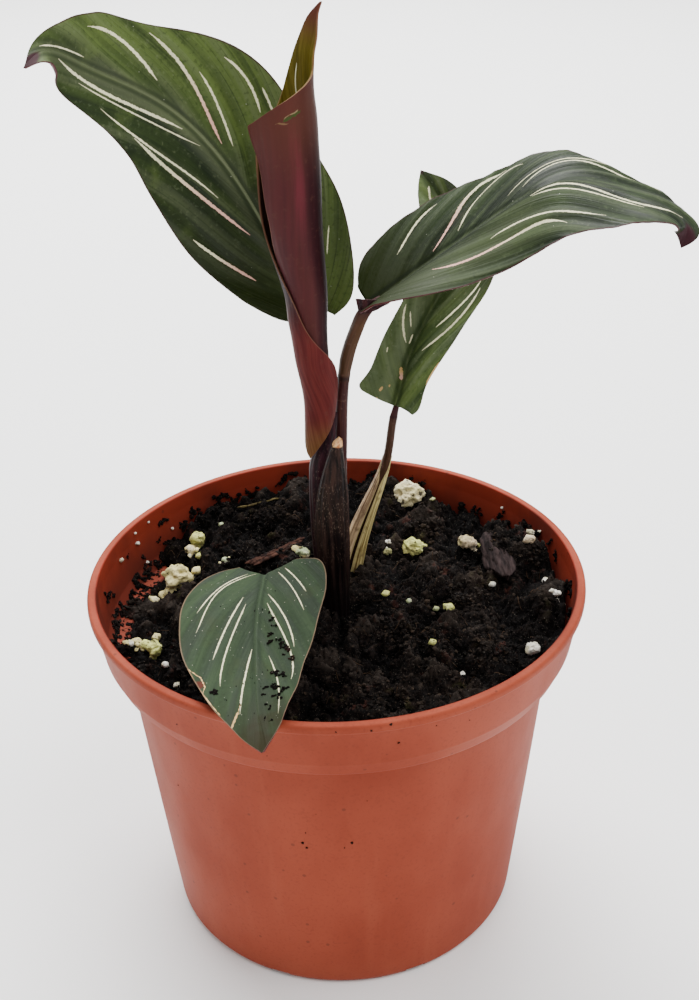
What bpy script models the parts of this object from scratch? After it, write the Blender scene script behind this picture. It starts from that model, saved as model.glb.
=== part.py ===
"""Pinstripe calathea in a 12 cm terracotta plastic nursery pot, in metres, +Z up.

The origin is the middle of the pot's underside. The photograph looks along +Y.
"""

from math import cos, pi, radians, sin

import bmesh
import bpy
import numpy as np
from mathutils import Matrix, Vector

MM = 0.001
SEED = 12

# Pot: a thin moulded cup with a flat lip and a wide band under it.
POT_STEPS = 46
LIP_RADIUS = 60.0
LIP_INNER = 57.3
POT_HEIGHT = 92.0
BAND_TOP_RADIUS = 59.0
BAND_BOTTOM_RADIUS = 57.3
BAND_BOTTOM = 79.2
SHOULDER_RADIUS = 55.8
SHOULDER_BOTTOM = 75.4
BODY_TOP_RADIUS = 52.1
BASE_RADIUS = 44.3
WALL = 1.3
FLOOR = 3.3
PAD_RADIUS = 28.0
CHANNEL_OUTER = 39.8
CHANNEL_DEPTH = 2.0
DRAIN_COUNT = 8
DRAIN_DIAMETER = 7.0
DRAIN_CIRCLE = 34.2
NOTCH_WIDTH = 5.0
NOTCH_HEIGHT = 1.3
GAP = 0.3

# Soil: its level at the middle, how it leans, and its clods.
SOIL_LEVEL = 81.5
SOIL_TO_BACK = 0.075
SOIL_TO_RIGHT = 0.03
SOIL_RINGS = 10
SOIL_STEPS = 40
HOLE_BELOW_FOOT = 2.0
STEM_FOOT = 71.3

# Leaves: blade thickness at the margin, and at the midrib.
BLADE_EDGE = 0.62
BLADE_RIB = 1.35
BLADE_ROWS = 17
BLADE_COLUMNS = 5

# The half outline of every blade, as shares of its length and of its half width.
OUTLINE_AT = (0, 0.05, 0.13, 0.27, 0.45, 0.65, 0.85, 1)
OUTLINE_ALONG = (-0.05, -0.01, 0.12, 0.32, 0.54, 0.75, 0.92, 1)
OUTLINE_ACROSS = (0.34, 0.64, 0.88, 1, 0.93, 0.68, 0.3, 0)

# Each blade: midrib points, which way its face looks, turn about the midrib, how
# far each half is lifted at base, middle and tip, in degrees, half width, and
# each half's share of that width at five stations.
LEAVES = {
    "left": {
        "midrib": ((-5.1, 17.7, 154), (-10.9, 12.8, 168.9), (-20.1, 13.6, 186.9), (-33.2, 9.8, 203.3),
                   (-48.6, 0, 214.6), (-54.6, -9.4, 218.8), (-57, -14.4, 217)),
        "face": (0, -1, 0.35),
        "turn": (-19, -3.5, 0),
        "lift": ((0, -3, -3), (-3, 11, 8)),
        "half_width": 17.0,
        "shares": ((0.9, 1.12, 1.11, 0.93, 0.25), (0.76, 1.07, 0.94, 0.76, 0.5)),
    },
    "right": {
        "midrib": ((10.5, 1.6, 161.9), (25.7, 1.4, 173), (37.4, -1.8, 182.6), (48.9, -5.7, 189.4),
                   (62.4, -8.7, 187.4), (70.2, -11.4, 184.9), (74, -13, 181.3), (73, -13.4, 176.9)),
        "face": (0, -0.3, 1),
        "turn": (-10, 4, -16),
        "lift": ((26, -13, 12), (22, -4, -12)),
        "half_width": 16.3,
        "shares": ((0.93, 0.93, 1.08, 1.03, 1), (1.2, 0.97, 0.86, 0.98, 1)),
    },
    "back": {
        "midrib": ((15.2, 13, 130), (19.8, 19.6, 142.5), (27, 26, 153.5), (31.6, 32.6, 161.5),
                   (29, 39.4, 169), (23.2, 46, 177)),
        "face": (-0.3, -1, 0.3),
        "turn": (0, 0, -6),
        "lift": ((36, 36, 28), (34, 38, 26)),
        "half_width": 14.0,
        "shares": ((0.8, 0.82, 1, 1, 0.9), (0.8, 0.52, 0.8, 0.95, 1)),
    },
    "low": {
        "midrib": ((-16.9, -9.7, 98.4), (-18.2, -27, 97.4), (-17.9, -43.5, 94.9), (-17.2, -55.5, 94.8),
                   (-16, -68.1, 92.7)),
        "face": (0, -0.3, 1),
        "turn": (11, 1, 15),
        "lift": ((6, 6, 4), (9, 5.5, 7)),
        "half_width": 16.4,
        "shares": ((1.12, 1.06, 0.97, 0.84, 0.81), (1.35, 0.9, 0.72, 0.74, 0.83)),
    },
}

# Each leaf stalk: points up to just short of its blade, and radius at foot and top.
STALKS = {
    "left": (((-2.4, 12, STEM_FOOT), (-2.6, 12.6, 90), (-3.6, 14, 115), (-4, 16, 136)), 1.9, 1.35),
    "right": (((6.9, 7.2, STEM_FOOT), (5.7, 7, 90), (3.6, 6.5, 110), (2.3, 6.1, 126), (2.7, 6, 138),
               (4.2, 5.3, 147.5), (6.4, 3.9, 154.5)), 1.7, 1.25),
    "back": (((6.8, 14.4, STEM_FOOT), (8.2, 14.2, 90), (11, 13.6, 106), (13.6, 13.4, 119)), 1.15, 0.95),
    "low": (((-5.5, 1, STEM_FOOT), (-6.6, -0.5, 86), (-10, -3, 94.5), (-14, -5.5, 98)), 1.2, 0.95),
}

# Young rolled leaf, one row for each height: z, axis x, axis y, radius at its
# front, and the two angles in degrees where the rolled sheet starts and ends.
# Angles grow from the front panel's left margin round the right side and the back.
ROLL_ROWS = (
    (121.5, -3.8, 3.0, 1.9, -105, 235), (127.0, -3.6, 2.9, 1.9, -110, 290), (133.0, -3.1, 2.7, 2.0, -115, 345),
    (139.0, -2.8, 2.5, 2.5, -120, 372), (144.5, -3.3, 2.3, 2.9, -120, 352), (149.0, -3.8, 2.1, 3.2, -122, 322),
    (153.0, -4.2, 2.0, 3.6, -124, 286), (157.0, -4.5, 1.9, 4.0, -126, 260), (162.0, -4.6, 1.8, 4.3, -128, 236),
    (167.0, -5.2, 1.7, 4.8, -131, 216), (173.0, -6.2, 1.6, 5.5, -135, 202), (179.0, -7.0, 1.5, 6.1, -140, 192),
    (185.0, -7.3, 1.5, 6.4, -150, 184), (191.0, -7.4, 1.5, 6.5, -158, 174), (196.0, -7.8, 1.5, 6.7, -164, 146),
    (200.0, -8.1, 1.5, 6.9, -166, 116), (203.5, -8.3, 1.5, 6.9, -146, 98), (206.5, -8.4, 1.5, 6.7, -104, 88),
    (209.0, -8.1, 1.5, 6.3, -52, 84), (211.7, -7.4, 1.5, 5.7, -8, 82), (215.0, -6.2, 1.5, 4.9, 10, 82),
    (218.5, -4.5, 1.5, 4.1, 22, 84), (222.0, -3.1, 1.5, 3.5, 40, 76), (224.4, -1.3, 1.5, 3.1, 57, 65),
)
ROLL_PITCH = 1.5
ROLL_THICKNESS = 0.62
ROLL_COLUMNS = 19

# Upright stem of sheaths that the roll and the stalks come out of.
CROWN_POINTS = ((0.4, 6.0, STEM_FOOT), (-0.4, 5.4, 84), (-1.9, 4.4, 98), (-2.9, 3.5, 110), (-3.7, 3.1, 119.5))
CROWN_RADII = (4.3, 4.0, 3.3, 2.8, 2.2)
CORE_POINTS = ((-3.7, 3.1, 119.5), (-3.7, 3.0, 121), (-3.6, 2.9, 127), (-3.2, 2.7, 133))
CORE_RADII = (2.2, 0.6, 0.5, 0.45)

# Short ribbed sheath in front of it, cut off at the top: z, x, y and half axes.
FRONT_SHEATH_ROWS = (
    (STEM_FOOT, 1.2, -1.6, 2.9, 2.2), (82, 1.0, -1.9, 3.3, 2.5), (92, 0.3, -2.4, 3.6, 2.7), (102, -0.2, -2.8, 3.7, 2.6),
    (112, 0.1, -2.7, 3.4, 2.2), (120, 0.6, -2.2, 2.5, 1.8), (125, 1.0, -1.8, 1.7, 1.4), (127.6, 1.2, -1.6, 1.2, 1.1),
)
FRONT_SHEATH_RIBS = 7
FRONT_SHEATH_SIDES = 28
FRONT_SHEATH_RIB_DEPTH = 0.13

# Dry split sheath round the back stalk: z, radius, half the split in degrees.
DRY_SHEATH_ROWS = (
    (STEM_FOOT, 2.9, 12), (84, 2.9, 22), (92, 2.8, 30), (100, 2.6, 30), (108, 2.35, 26), (114, 2.15, 18), (118, 2.0, 14),
)
DRY_SHEATH_THICKNESS = 0.6
DRY_SHEATH_COLUMNS = 12

# White and yellow perlite lumps that lie in the soil: x, y, width in mm.
PERLITE = (
    (20.2, 46.0, 7.4), (20.3, 22.7, 5.0), (34.1, 21.4, 4.0), (13.8, 23.6, 3.3), (52.7, -3.8, 4.4), (52.9, 4.6, 3.0),
    (45.2, -20.9, 3.5), (-36.6, 32.6, 3.7), (-40.4, 15.3, 6.6), (-43.8, -12.5, 3.6), (-8.4, 23.0, 3.4),
    (27.2, -3.1, 2.6),
)
PERLITE_SUNK = 0.3

# Bark and fibres on the soil: two ends and half thickness.
BARK_TWIG = ((-22.1, 18.8), (-7.6, 29.6), 1.0)
FIBRE = ((-26.5, 45.6), (-8.3, 51.4), 0.5)
BARK_FLAKE_AT = (41.5, 15.9)
BARK_FLAKE_SIZE = (6.4, 11.5, 2.6)


def clear_scene():
    """Removes the startup objects and makes the model's two collections."""
    for item in list(bpy.data.objects):
        bpy.data.objects.remove(item, do_unlink=True)
    made = {}
    for name in ("pinstripe_calathea", "cutters"):
        made[name] = bpy.data.collections.new(name)
        bpy.context.scene.collection.children.link(made[name])
    made["cutters"].hide_render = True
    return made["pinstripe_calathea"], made["cutters"]


def material(name, color, roughness):
    """A plain Principled material."""
    made = bpy.data.materials.new(name)
    made.use_nodes = True
    shader = made.node_tree.nodes["Principled BSDF"]
    shader.inputs["Base Color"].default_value = (*color, 1)
    shader.inputs["Roughness"].default_value = roughness
    return made


def mesh_object(name, points, faces, where, look=None):
    """A mesh from points in millimetres, with its normals made to agree."""
    mesh = bpy.data.meshes.new(name)
    mesh.from_pydata([tuple(value * MM for value in point) for point in points], [], faces)
    made = bpy.data.objects.new(name, mesh)
    where.objects.link(made)
    if look:
        mesh.materials.append(look)
    return made


def tidy_normals(made):
    """Welds doubled points and turns every face outwards."""
    work = bmesh.new()
    work.from_mesh(made.data)
    bmesh.ops.remove_doubles(work, verts=work.verts, dist=1e-6)
    bmesh.ops.recalc_face_normals(work, faces=work.faces)
    work.to_mesh(made.data)
    work.free()


def smooth_curve(stations, values):
    """A natural cubic curve through the values, returned as a function of the station."""
    stations = np.asarray(stations, float)
    values = np.asarray(values, float)
    values = values[:, None] if values.ndim == 1 else values
    last = len(stations) - 1
    step = np.diff(stations)
    system = np.eye(last + 1)
    target = np.zeros_like(values)
    for i in range(1, last):
        system[i, i - 1 : i + 2] = step[i - 1], 2 * (step[i - 1] + step[i]), step[i]
        rise = (values[i + 1] - values[i]) / step[i] - (values[i] - values[i - 1]) / step[i - 1]
        target[i] = 6 * rise
    bend = np.linalg.solve(system, target)

    def curve(at):
        at = np.asarray(at, float)
        k = np.clip(np.searchsorted(stations, at, side="right") - 1, 0, last - 1)
        width = step[k][..., None]
        before = (stations[k + 1] - at)[..., None]
        after = (at - stations[k])[..., None]
        cubic = (bend[k] * before**3 + bend[k + 1] * after**3) / (6 * width)
        first = (values[k] / width - bend[k] * width / 6) * before
        return cubic + first + (values[k + 1] / width - bend[k + 1] * width / 6) * after

    return curve


def unit(rows):
    return rows / np.linalg.norm(rows, axis=-1, keepdims=True)


def along(points, count):
    """A smooth curve through the points, as evenly spaced points."""
    points = np.asarray(points, float)
    chord = np.r_[0, np.cumsum(np.linalg.norm(np.diff(points, axis=0), axis=1))]
    dense = smooth_curve(chord, points)(np.linspace(0, chord[-1], 300))
    run = np.r_[0, np.cumsum(np.linalg.norm(np.diff(dense, axis=0), axis=1))]
    even = np.linspace(0, run[-1], count)
    return np.stack([np.interp(even, run, dense[:, k]) for k in range(3)], -1), run[-1]


def blade_grid(leaf, rows, columns):
    """Points of a blade, from one margin over the midrib to the other, row by row.

    A row follows one side vein. Its flat place is bent round the midrib curve,
    and each half is lifted from the plane that the leaf's face looks out of.
    """
    spine, length = along(leaf["midrib"], 241)
    tangent = unit(np.gradient(spine, axis=0))
    face = np.asarray(leaf["face"], float)
    normal = unit(face - (tangent @ face)[:, None] * tangent)
    side = np.cross(tangent, normal)
    turn = np.radians(smooth_curve((0, 0.5, 1), leaf["turn"])(np.linspace(0, 1, 241)))
    normal, side = np.cos(turn) * normal + np.sin(turn) * side, np.cos(turn) * side - np.sin(turn) * normal
    vein = np.linspace(0, 1, rows)
    margin_along = smooth_curve(OUTLINE_AT, OUTLINE_ALONG)(vein)[:, 0]
    margin_across = smooth_curve(OUTLINE_AT, OUTLINE_ACROSS)(vein)[:, 0]
    grid = []
    for column in range(-columns, columns + 1):
        out = abs(column) / columns
        half = 0 if column > 0 else 1
        share = smooth_curve((0, 0.25, 0.5, 0.75, 1), leaf["shares"][half])(vein)[:, 0]
        across = out * margin_across * leaf["half_width"] * share
        s = length * (vein + (margin_along - vein) * out**1.6)
        place = np.clip(s / length, 0, 1) * 240
        pick = lambda rows_of: np.stack([np.interp(place, np.arange(241), rows_of[:, k]) for k in range(3)], -1)
        t, n, b = unit(pick(tangent)), pick(normal), pick(side)
        lift = np.radians(smooth_curve((0, 0.5, 1), leaf["lift"][half])(place / 240)[:, 0])
        sign = 1 if half == 0 else -1
        centre = pick(spine) + t * (s - np.clip(s, 0, length))[:, None]
        grid.append(centre + sign * b * (across * np.cos(lift))[:, None] + n * (across * np.sin(lift))[:, None])
    return np.stack(grid, 1)


def grid_faces(rows, columns, turned=False):
    """Two triangles for each cell of a grid, so that both faces split alike."""
    faces = []
    for i in range(rows - 1):
        for j in range(columns - 1):
            a, b = i * columns + j, i * columns + j + 1
            c, d = b + columns, a + columns
            faces += [(a, c, b), (a, d, c)] if turned else [(a, b, c), (a, c, d)]
    return faces


def add_blade(name, leaf, where, look):
    """One leaf blade: an open surface made solid downwards, thicker along its midrib."""
    grid = blade_grid(leaf, BLADE_ROWS, BLADE_COLUMNS)
    rows, columns = grid.shape[:2]
    points = [tuple(point) for point in grid[:-1].reshape(-1, 3)] + [tuple(grid[-1, BLADE_COLUMNS])]
    faces = grid_faces(rows - 1, columns)
    tip = (rows - 1) * columns
    for j in range(columns - 1):
        faces.append(((rows - 2) * columns + j, (rows - 2) * columns + j + 1, tip))
    made = mesh_object(name, points, faces, where, look)
    rib = made.vertex_groups.new(name="midrib")
    for i in range(rows - 1):
        for j in range(columns):
            near = max(0.0, 1 - abs(j - BLADE_COLUMNS) / 1.5) * (1 - 0.8 * i / (rows - 1))
            rib.add([i * columns + j], near, "REPLACE")
    solid = made.modifiers.new("thickness", "SOLIDIFY")
    solid.thickness = BLADE_RIB * MM
    solid.offset = -1
    solid.vertex_group = "midrib"
    solid.thickness_vertex_group = BLADE_EDGE / BLADE_RIB
    return made


def add_tube(name, points, radii, where, look, count):
    """A round stalk: a curve with a bevel and filled caps, its radius eased along it."""
    centre, _ = along(points, count)
    radius = smooth_curve(np.linspace(0, 1, len(radii)), radii)(np.linspace(0, 1, count))[:, 0]
    data = bpy.data.curves.new(name, "CURVE")
    data.dimensions = "3D"
    data.bevel_depth = MM
    data.bevel_resolution = 2
    data.use_fill_caps = True
    line = data.splines.new("POLY")
    line.points.add(count - 1)
    for point, at, size in zip(line.points, centre, radius):
        point.co = (*(at * MM), 1)
        point.radius = size
    made = bpy.data.objects.new(name, data)
    where.objects.link(made)
    data.materials.append(look)
    return made


def ring_tube(name, rings, where, look):
    """A closed solid through rings of points, with a flat cap at each end."""
    sides = len(rings[0])
    points = [tuple(point) for ring in rings for point in ring]
    faces = []
    for i in range(len(rings) - 1):
        for j in range(sides):
            a, b = i * sides + j, i * sides + (j + 1) % sides
            faces.append((a, b, b + sides, a + sides))
    faces.append(tuple(reversed(range(sides))))
    faces.append(tuple(range((len(rings) - 1) * sides, len(rings) * sides)))
    made = mesh_object(name, points, faces, where, look)
    tidy_normals(made)
    return made


def apply_boolean(made, cutters, operation):
    """Cuts the object with every listed mesh, or keeps what they share."""
    for cutter in cutters:
        step = made.modifiers.new(cutter.name, "BOOLEAN")
        step.object = cutter
        step.operation = operation
        step.solver = "EXACT"
    return made


def turned_profile(name, profile, where, look=None):
    """A profile turned once round the vertical axis."""
    edges = [(i, (i + 1) % len(profile)) for i in range(len(profile))]
    mesh = bpy.data.meshes.new(name)
    mesh.from_pydata([(r * MM, 0, z * MM) for r, z in profile], edges, [])
    made = bpy.data.objects.new(name, mesh)
    where.objects.link(made)
    if look:
        mesh.materials.append(look)
    screw = made.modifiers.new("turn", "SCREW")
    screw.axis = "Z"
    screw.steps = screw.render_steps = POT_STEPS
    screw.use_merge_vertices = True
    screw.merge_threshold = 0.00005
    screw.use_normal_calculate = True
    return made


def cavity_profile(inset):
    """The pot's inner wall from the lip down to the middle of its floor."""
    slope = (BODY_TOP_RADIUS - BASE_RADIUS) / SHOULDER_BOTTOM
    wall_top = BODY_TOP_RADIUS - WALL
    ledge = SHOULDER_BOTTOM + WALL
    return [
        (LIP_INNER - inset, POT_HEIGHT),
        (LIP_INNER - 0.2 - inset, 88.0),
        (BAND_BOTTOM_RADIUS - WALL - inset, BAND_BOTTOM + 0.6 + inset),
        (SHOULDER_RADIUS - WALL - inset, ledge + 0.5 + inset),
        (wall_top + 0.4 - inset, ledge + inset),
        (wall_top - inset, ledge - 0.6 + inset),
        (wall_top - slope * (ledge - FLOOR - 1.5) - inset, FLOOR + 1.5 + inset),
        (wall_top - slope * (ledge - FLOOR) - 1.2 - inset, FLOOR + inset),
        (PAD_RADIUS - 0.2 - inset, FLOOR + inset),
        (PAD_RADIUS - 1.4 - inset, WALL + inset),
        (0, WALL + inset),
    ]


def add_pot(where, cutters, look):
    """The nursery pot, with drain holes in a raised channel and outlets through its foot."""
    outer = [
        (LIP_RADIUS - 0.4, POT_HEIGHT),
        (LIP_RADIUS, POT_HEIGHT - 0.6),
        (LIP_RADIUS, POT_HEIGHT - 1.9),
        (BAND_TOP_RADIUS + 0.1, POT_HEIGHT - 2.5),
        (BAND_BOTTOM_RADIUS + 0.1, BAND_BOTTOM + 0.5),
        (BAND_BOTTOM_RADIUS - 0.2, BAND_BOTTOM - 0.1),
        (SHOULDER_RADIUS, SHOULDER_BOTTOM + 0.7),
        (SHOULDER_RADIUS - 0.5, SHOULDER_BOTTOM),
        (BODY_TOP_RADIUS + 0.5, SHOULDER_BOTTOM - 0.3),
        (BODY_TOP_RADIUS, SHOULDER_BOTTOM - 1.0),
        (BASE_RADIUS + 0.2, 1.6),
        (BASE_RADIUS - 0.8, 0),
        (CHANNEL_OUTER + 0.6, 0),
        (CHANNEL_OUTER, CHANNEL_DEPTH),
        (PAD_RADIUS + 0.6, CHANNEL_DEPTH),
        (PAD_RADIUS, 0),
        (0, 0),
    ]
    pot = turned_profile("pot", outer + cavity_profile(0)[::-1], where, look)
    tools = []
    for i in range(DRAIN_COUNT):
        angle = 2 * pi * (i + 0.5) / DRAIN_COUNT
        bpy.ops.mesh.primitive_cylinder_add(
            vertices=16, radius=DRAIN_DIAMETER / 2 * MM, depth=6 * MM,
            location=(DRAIN_CIRCLE * cos(angle) * MM, DRAIN_CIRCLE * sin(angle) * MM, FLOOR * MM),
        )
        tools.append(bpy.context.object)
        bpy.ops.mesh.primitive_cube_add(
            size=MM, rotation=(0, 0, angle),
            location=(43 * cos(angle) * MM, 43 * sin(angle) * MM, (NOTCH_HEIGHT / 2 - 1) * MM),
        )
        bpy.context.object.scale = (8, NOTCH_WIDTH, NOTCH_HEIGHT + 2)
        tools.append(bpy.context.object)
    for i, tool in enumerate(tools):
        as_cutter(tool, f"drain_{i:02d}", cutters)
    bpy.context.view_layer.update()
    return apply_boolean(pot, tools, "DIFFERENCE")


def as_cutter(tool, name, cutters):
    """Moves a mesh to the cutters' collection, drawn as wires and not rendered."""
    tool.name = name
    for holder in list(tool.users_collection):
        holder.objects.unlink(tool)
    cutters.objects.link(tool)
    tool.hide_render = True
    tool.display_type = "WIRE"
    return tool


def soil_height(x, y):
    """Level of the soil in millimetres: a lean, broad heaps and small clods."""
    broad = 0.8 * sin(0.11 * x + 0.6) * cos(0.13 * y - 0.4) + 0.5 * sin(0.07 * y - 0.2 * x + 1.1)
    clods = 0.45 * sin(0.52 * x + 1.3 * sin(0.31 * y)) * sin(0.47 * y + 1.1 * sin(0.37 * x + 2))
    grains = 0.3 * sin(1.3 * x + 0.9 * y + 0.5) * cos(1.1 * y - 0.6 * x)
    return SOIL_LEVEL + SOIL_TO_BACK * y + SOIL_TO_RIGHT * x + broad + clods + grains


def add_soil(where, cutters, holes, look):
    """Soil that fills the pot to an uneven top, with a plain hole for each stem."""
    top = [(0, 0, soil_height(0, 0))]
    for ring in range(1, SOIL_RINGS + 1):
        radius = 58.5 * ring / SOIL_RINGS
        for j in range(SOIL_STEPS):
            angle = 2 * pi * (j + 0.5 * (ring % 2)) / SOIL_STEPS
            x, y = radius * cos(angle), radius * sin(angle)
            top.append((x, y, soil_height(x, y)))
    faces = [(0, 1 + j, 1 + (j + 1) % SOIL_STEPS) for j in range(SOIL_STEPS)]
    for ring in range(SOIL_RINGS - 1):
        for j in range(SOIL_STEPS):
            a, b = 1 + ring * SOIL_STEPS + j, 1 + ring * SOIL_STEPS + (j + 1) % SOIL_STEPS
            c, d = b + SOIL_STEPS, a + SOIL_STEPS
            faces += [(a, d, c), (a, c, b)] if ring % 2 else [(a, d, b), (d, c, b)]
    rim = len(top) - SOIL_STEPS
    under = [(x, y, -2) for x, y, _ in top[rim:]]
    faces += [(rim + j, len(top) + j, len(top) + (j + 1) % SOIL_STEPS, rim + (j + 1) % SOIL_STEPS) for j in range(SOIL_STEPS)]
    faces.append(tuple(len(top) + j for j in reversed(range(SOIL_STEPS))))
    block = mesh_object("soil_block", top + under, faces, cutters)
    tidy_normals(block)
    as_cutter(block, "soil_block", cutters)
    cavity = cavity_profile(GAP + 0.05)
    soil = turned_profile("soil", [(cavity[0][0], POT_HEIGHT), *cavity[1:], (0, POT_HEIGHT)], where, look)
    apply_boolean(soil, [block], "INTERSECT")
    return apply_boolean(soil, holes, "DIFFERENCE")


def stem_holes(cutters):
    """Plain upright holes for the stems, a gap wider than the stems' feet."""
    feet = [
        (CROWN_POINTS[0], CROWN_RADII[0] + 0.1, CROWN_POINTS[2]),
        *((points[0], foot + 0.25, points[1]) for points, foot, _ in STALKS.values()),
        ((6.8, 14.4, STEM_FOOT), 3.5, (8.2, 14.2, 90)),
        ((1.2, -1.6, STEM_FOOT), 4.0, (0.7, -2.1, 87)),
    ]
    made = []
    for i, (foot, radius, higher) in enumerate(feet):
        foot, higher = Vector(foot), Vector(higher)
        axis = (higher - foot).normalized()
        middle = foot + axis * (12 - HOLE_BELOW_FOOT)
        bpy.ops.mesh.primitive_cylinder_add(vertices=18, radius=(radius + GAP) * MM, depth=24 * MM, location=middle * MM)
        bpy.context.object.rotation_euler = axis.to_track_quat("Z", "Y").to_euler()
        made.append(as_cutter(bpy.context.object, f"stem_hole_{i}", cutters))
    bpy.context.view_layer.update()
    return made


def chip_points(random, width, squash):
    """A lumpy closed stone: a ball of 42 points pushed in and out."""
    ball = bmesh.new()
    bmesh.ops.create_icosphere(ball, subdivisions=2 if width > 3.2 else 1, radius=width / 2)
    points = [np.array(v.co) * (1 + random.uniform(-0.16, 0.12)) * squash for v in ball.verts]
    faces = [tuple(v.index for v in face.verts) for face in ball.faces]
    ball.free()
    return np.array(points), faces


def add_chip(name, points, faces, at, spin, where, cutters, look):
    """A loose lump bedded in the soil, and the slightly larger dent that it lies in."""
    turn = np.array(Matrix.Rotation(spin, 3, "Z"))
    placed = points @ turn.T
    lump = mesh_object(name, placed + at, faces, where, look)
    reach = np.abs(placed).max(axis=0)
    dent = mesh_object(f"{name}_dent", placed * (1 + (GAP + 0.1) / reach.min()) + at, faces, cutters)
    for made in (lump, dent):
        tidy_normals(made)
    return lump, as_cutter(dent, dent.name, cutters)


def add_chips(where, cutters, looks):
    """Perlite, one bark flake, one bark twig and one fibre, with their dents."""
    random = np.random.default_rng(SEED)
    dents = []
    for i, (x, y, width) in enumerate(PERLITE):
        squash = np.array([1.1, 0.95, 0.8])
        points, faces = chip_points(random, width, squash)
        z = soil_height(x, y) + width * (0.4 - PERLITE_SUNK)
        _, dent = add_chip(f"perlite_{i + 1:02d}", points, faces, (x, y, z), random.uniform(0, 6), where, cutters, looks["perlite"])
        dents.append(dent)
    points, faces = chip_points(random, 5, np.array(BARK_FLAKE_SIZE) / 5)
    x, y = BARK_FLAKE_AT
    _, dent = add_chip("bark_flake", points, faces, (x, y, soil_height(x, y) + 0.9), -0.25, where, cutters, looks["bark"])
    dents.append(dent)
    for name, (start, end, thick) in (("bark_twig", BARK_TWIG), ("fibre", FIBRE)):
        start, end = (np.array((x, y, soil_height(x, y) + 0.5 * thick)) for x, y in (start, end))
        axis = unit(end - start)
        side = unit(np.cross(axis, (0, 0, 1)))
        up = np.cross(side, axis)
        rings, wide = [], []
        for k in range(6):
            centre = start + (end - start) * k / 5 + side * random.uniform(-0.5, 0.5) * thick
            size = thick * (0.55 if k in (0, 5) else random.uniform(0.8, 1.05))
            for kept, extra in ((rings, 0), (wide, GAP + 0.15)):
                reach = size + extra
                step = axis * extra * (-1 if k == 0 else 1 if k == 5 else 0)
                kept.append([
                    centre + step + reach * (cos(a) * side + 0.8 * sin(a) * up)
                    for a in np.linspace(0, 2 * pi, 7)[:-1]
                ])
        ring_tube(name, rings, where, looks["bark"])
        dents.append(as_cutter(ring_tube(f"{name}_dent", wide, cutters, None), f"{name}_dent", cutters))
    return dents


def add_roll(where, look):
    """The young leaf, still rolled: one sheet wound round its own axis."""
    rows = np.array(ROLL_ROWS)
    points = []
    for z, x, y, radius, start, end in rows:
        for angle in np.linspace(start, end, ROLL_COLUMNS):
            r = radius + ROLL_PITCH * (angle + 90) / 360
            points.append((x + r * cos(radians(angle)), y + r * sin(radians(angle)), z))
    made = mesh_object("rolled_leaf", points, grid_faces(len(rows), ROLL_COLUMNS), where, look)
    solid = made.modifiers.new("thickness", "SOLIDIFY")
    solid.thickness = ROLL_THICKNESS * MM
    solid.offset = -1
    return made


def add_crown(where, look):
    """The stem of wrapped sheaths, with the slim core that runs up into the roll."""
    rings = []
    for points, radii, count in ((CROWN_POINTS, CROWN_RADII, 9), (CORE_POINTS, CORE_RADII, 5)):
        centre = smooth_curve([p[2] for p in points], points)(np.linspace(points[0][2], points[-1][2], count))
        radius = smooth_curve([p[2] for p in points], radii)(centre[:, 2])[:, 0]
        for at, size in list(zip(centre, radius))[1 if rings else 0 :]:
            size = max(size, 0.45)
            rings.append([at + size * np.array([cos(a), sin(a), 0]) for a in np.linspace(0, 2 * pi, 17)[:-1]])
    return ring_tube("crown_stem", rings, where, look)


def add_front_sheath(where, look):
    """The short sheath in front, ribbed lengthways, with a flat cut end."""
    rings = []
    heights = [row[0] for row in FRONT_SHEATH_ROWS]
    shape = smooth_curve(heights, FRONT_SHEATH_ROWS)
    for z in np.linspace(heights[0], heights[-1], 10):
        _, x, y, wide, deep = shape(z)
        fade = min(1, (heights[-1] - z) / 15)
        ring = []
        for k in range(FRONT_SHEATH_SIDES):
            a = 2 * pi * k / FRONT_SHEATH_SIDES
            rib = 1 + FRONT_SHEATH_RIB_DEPTH / wide * fade * cos(2 * FRONT_SHEATH_RIBS * a)
            ring.append((x + wide * rib * cos(a), y + deep * rib * sin(a), z))
        rings.append(ring)
    return ring_tube("front_sheath", rings, where, look)


def add_dry_sheath(where, look):
    """The dry sheath round the back stalk, split open down its front."""
    heights = [row[0] for row in DRY_SHEATH_ROWS]
    shape = smooth_curve(heights, DRY_SHEATH_ROWS)
    levels = np.linspace(heights[0], heights[-1], 8)
    stalk, _ = along(stalk_route("back"), 60)
    points = []
    for z in levels:
        _, radius, split = shape(z)
        x, y = (np.interp(z, stalk[:, 2], stalk[:, k]) for k in range(2))
        for angle in np.linspace(-90 + split, 270 - split, DRY_SHEATH_COLUMNS):
            points.append((x + radius * cos(radians(angle)), y + radius * sin(radians(angle)), z))
    made = mesh_object("dry_sheath", points, grid_faces(len(levels), DRY_SHEATH_COLUMNS), where, look)
    solid = made.modifiers.new("thickness", "SOLIDIFY")
    solid.thickness = DRY_SHEATH_THICKNESS * MM
    solid.offset = -1
    return made


def stalk_route(key):
    """A stalk's points, up to a gap short of its blade and in line with the midrib."""
    midrib, _ = along(LEAVES[key]["midrib"], 60)
    heading = unit(midrib[1] - midrib[0])
    end = midrib[0] - heading * 1.1
    return [*STALKS[key][0], tuple(end - heading * 2), tuple(end)]


def add_stalk(key, where, look):
    """A leaf stalk from its hole in the soil to its blade."""
    _, foot, top = STALKS[key]
    return add_tube(f"stalk_{key}", stalk_route(key), (foot, (foot + top) / 2, top), where, look, 15)


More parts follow.
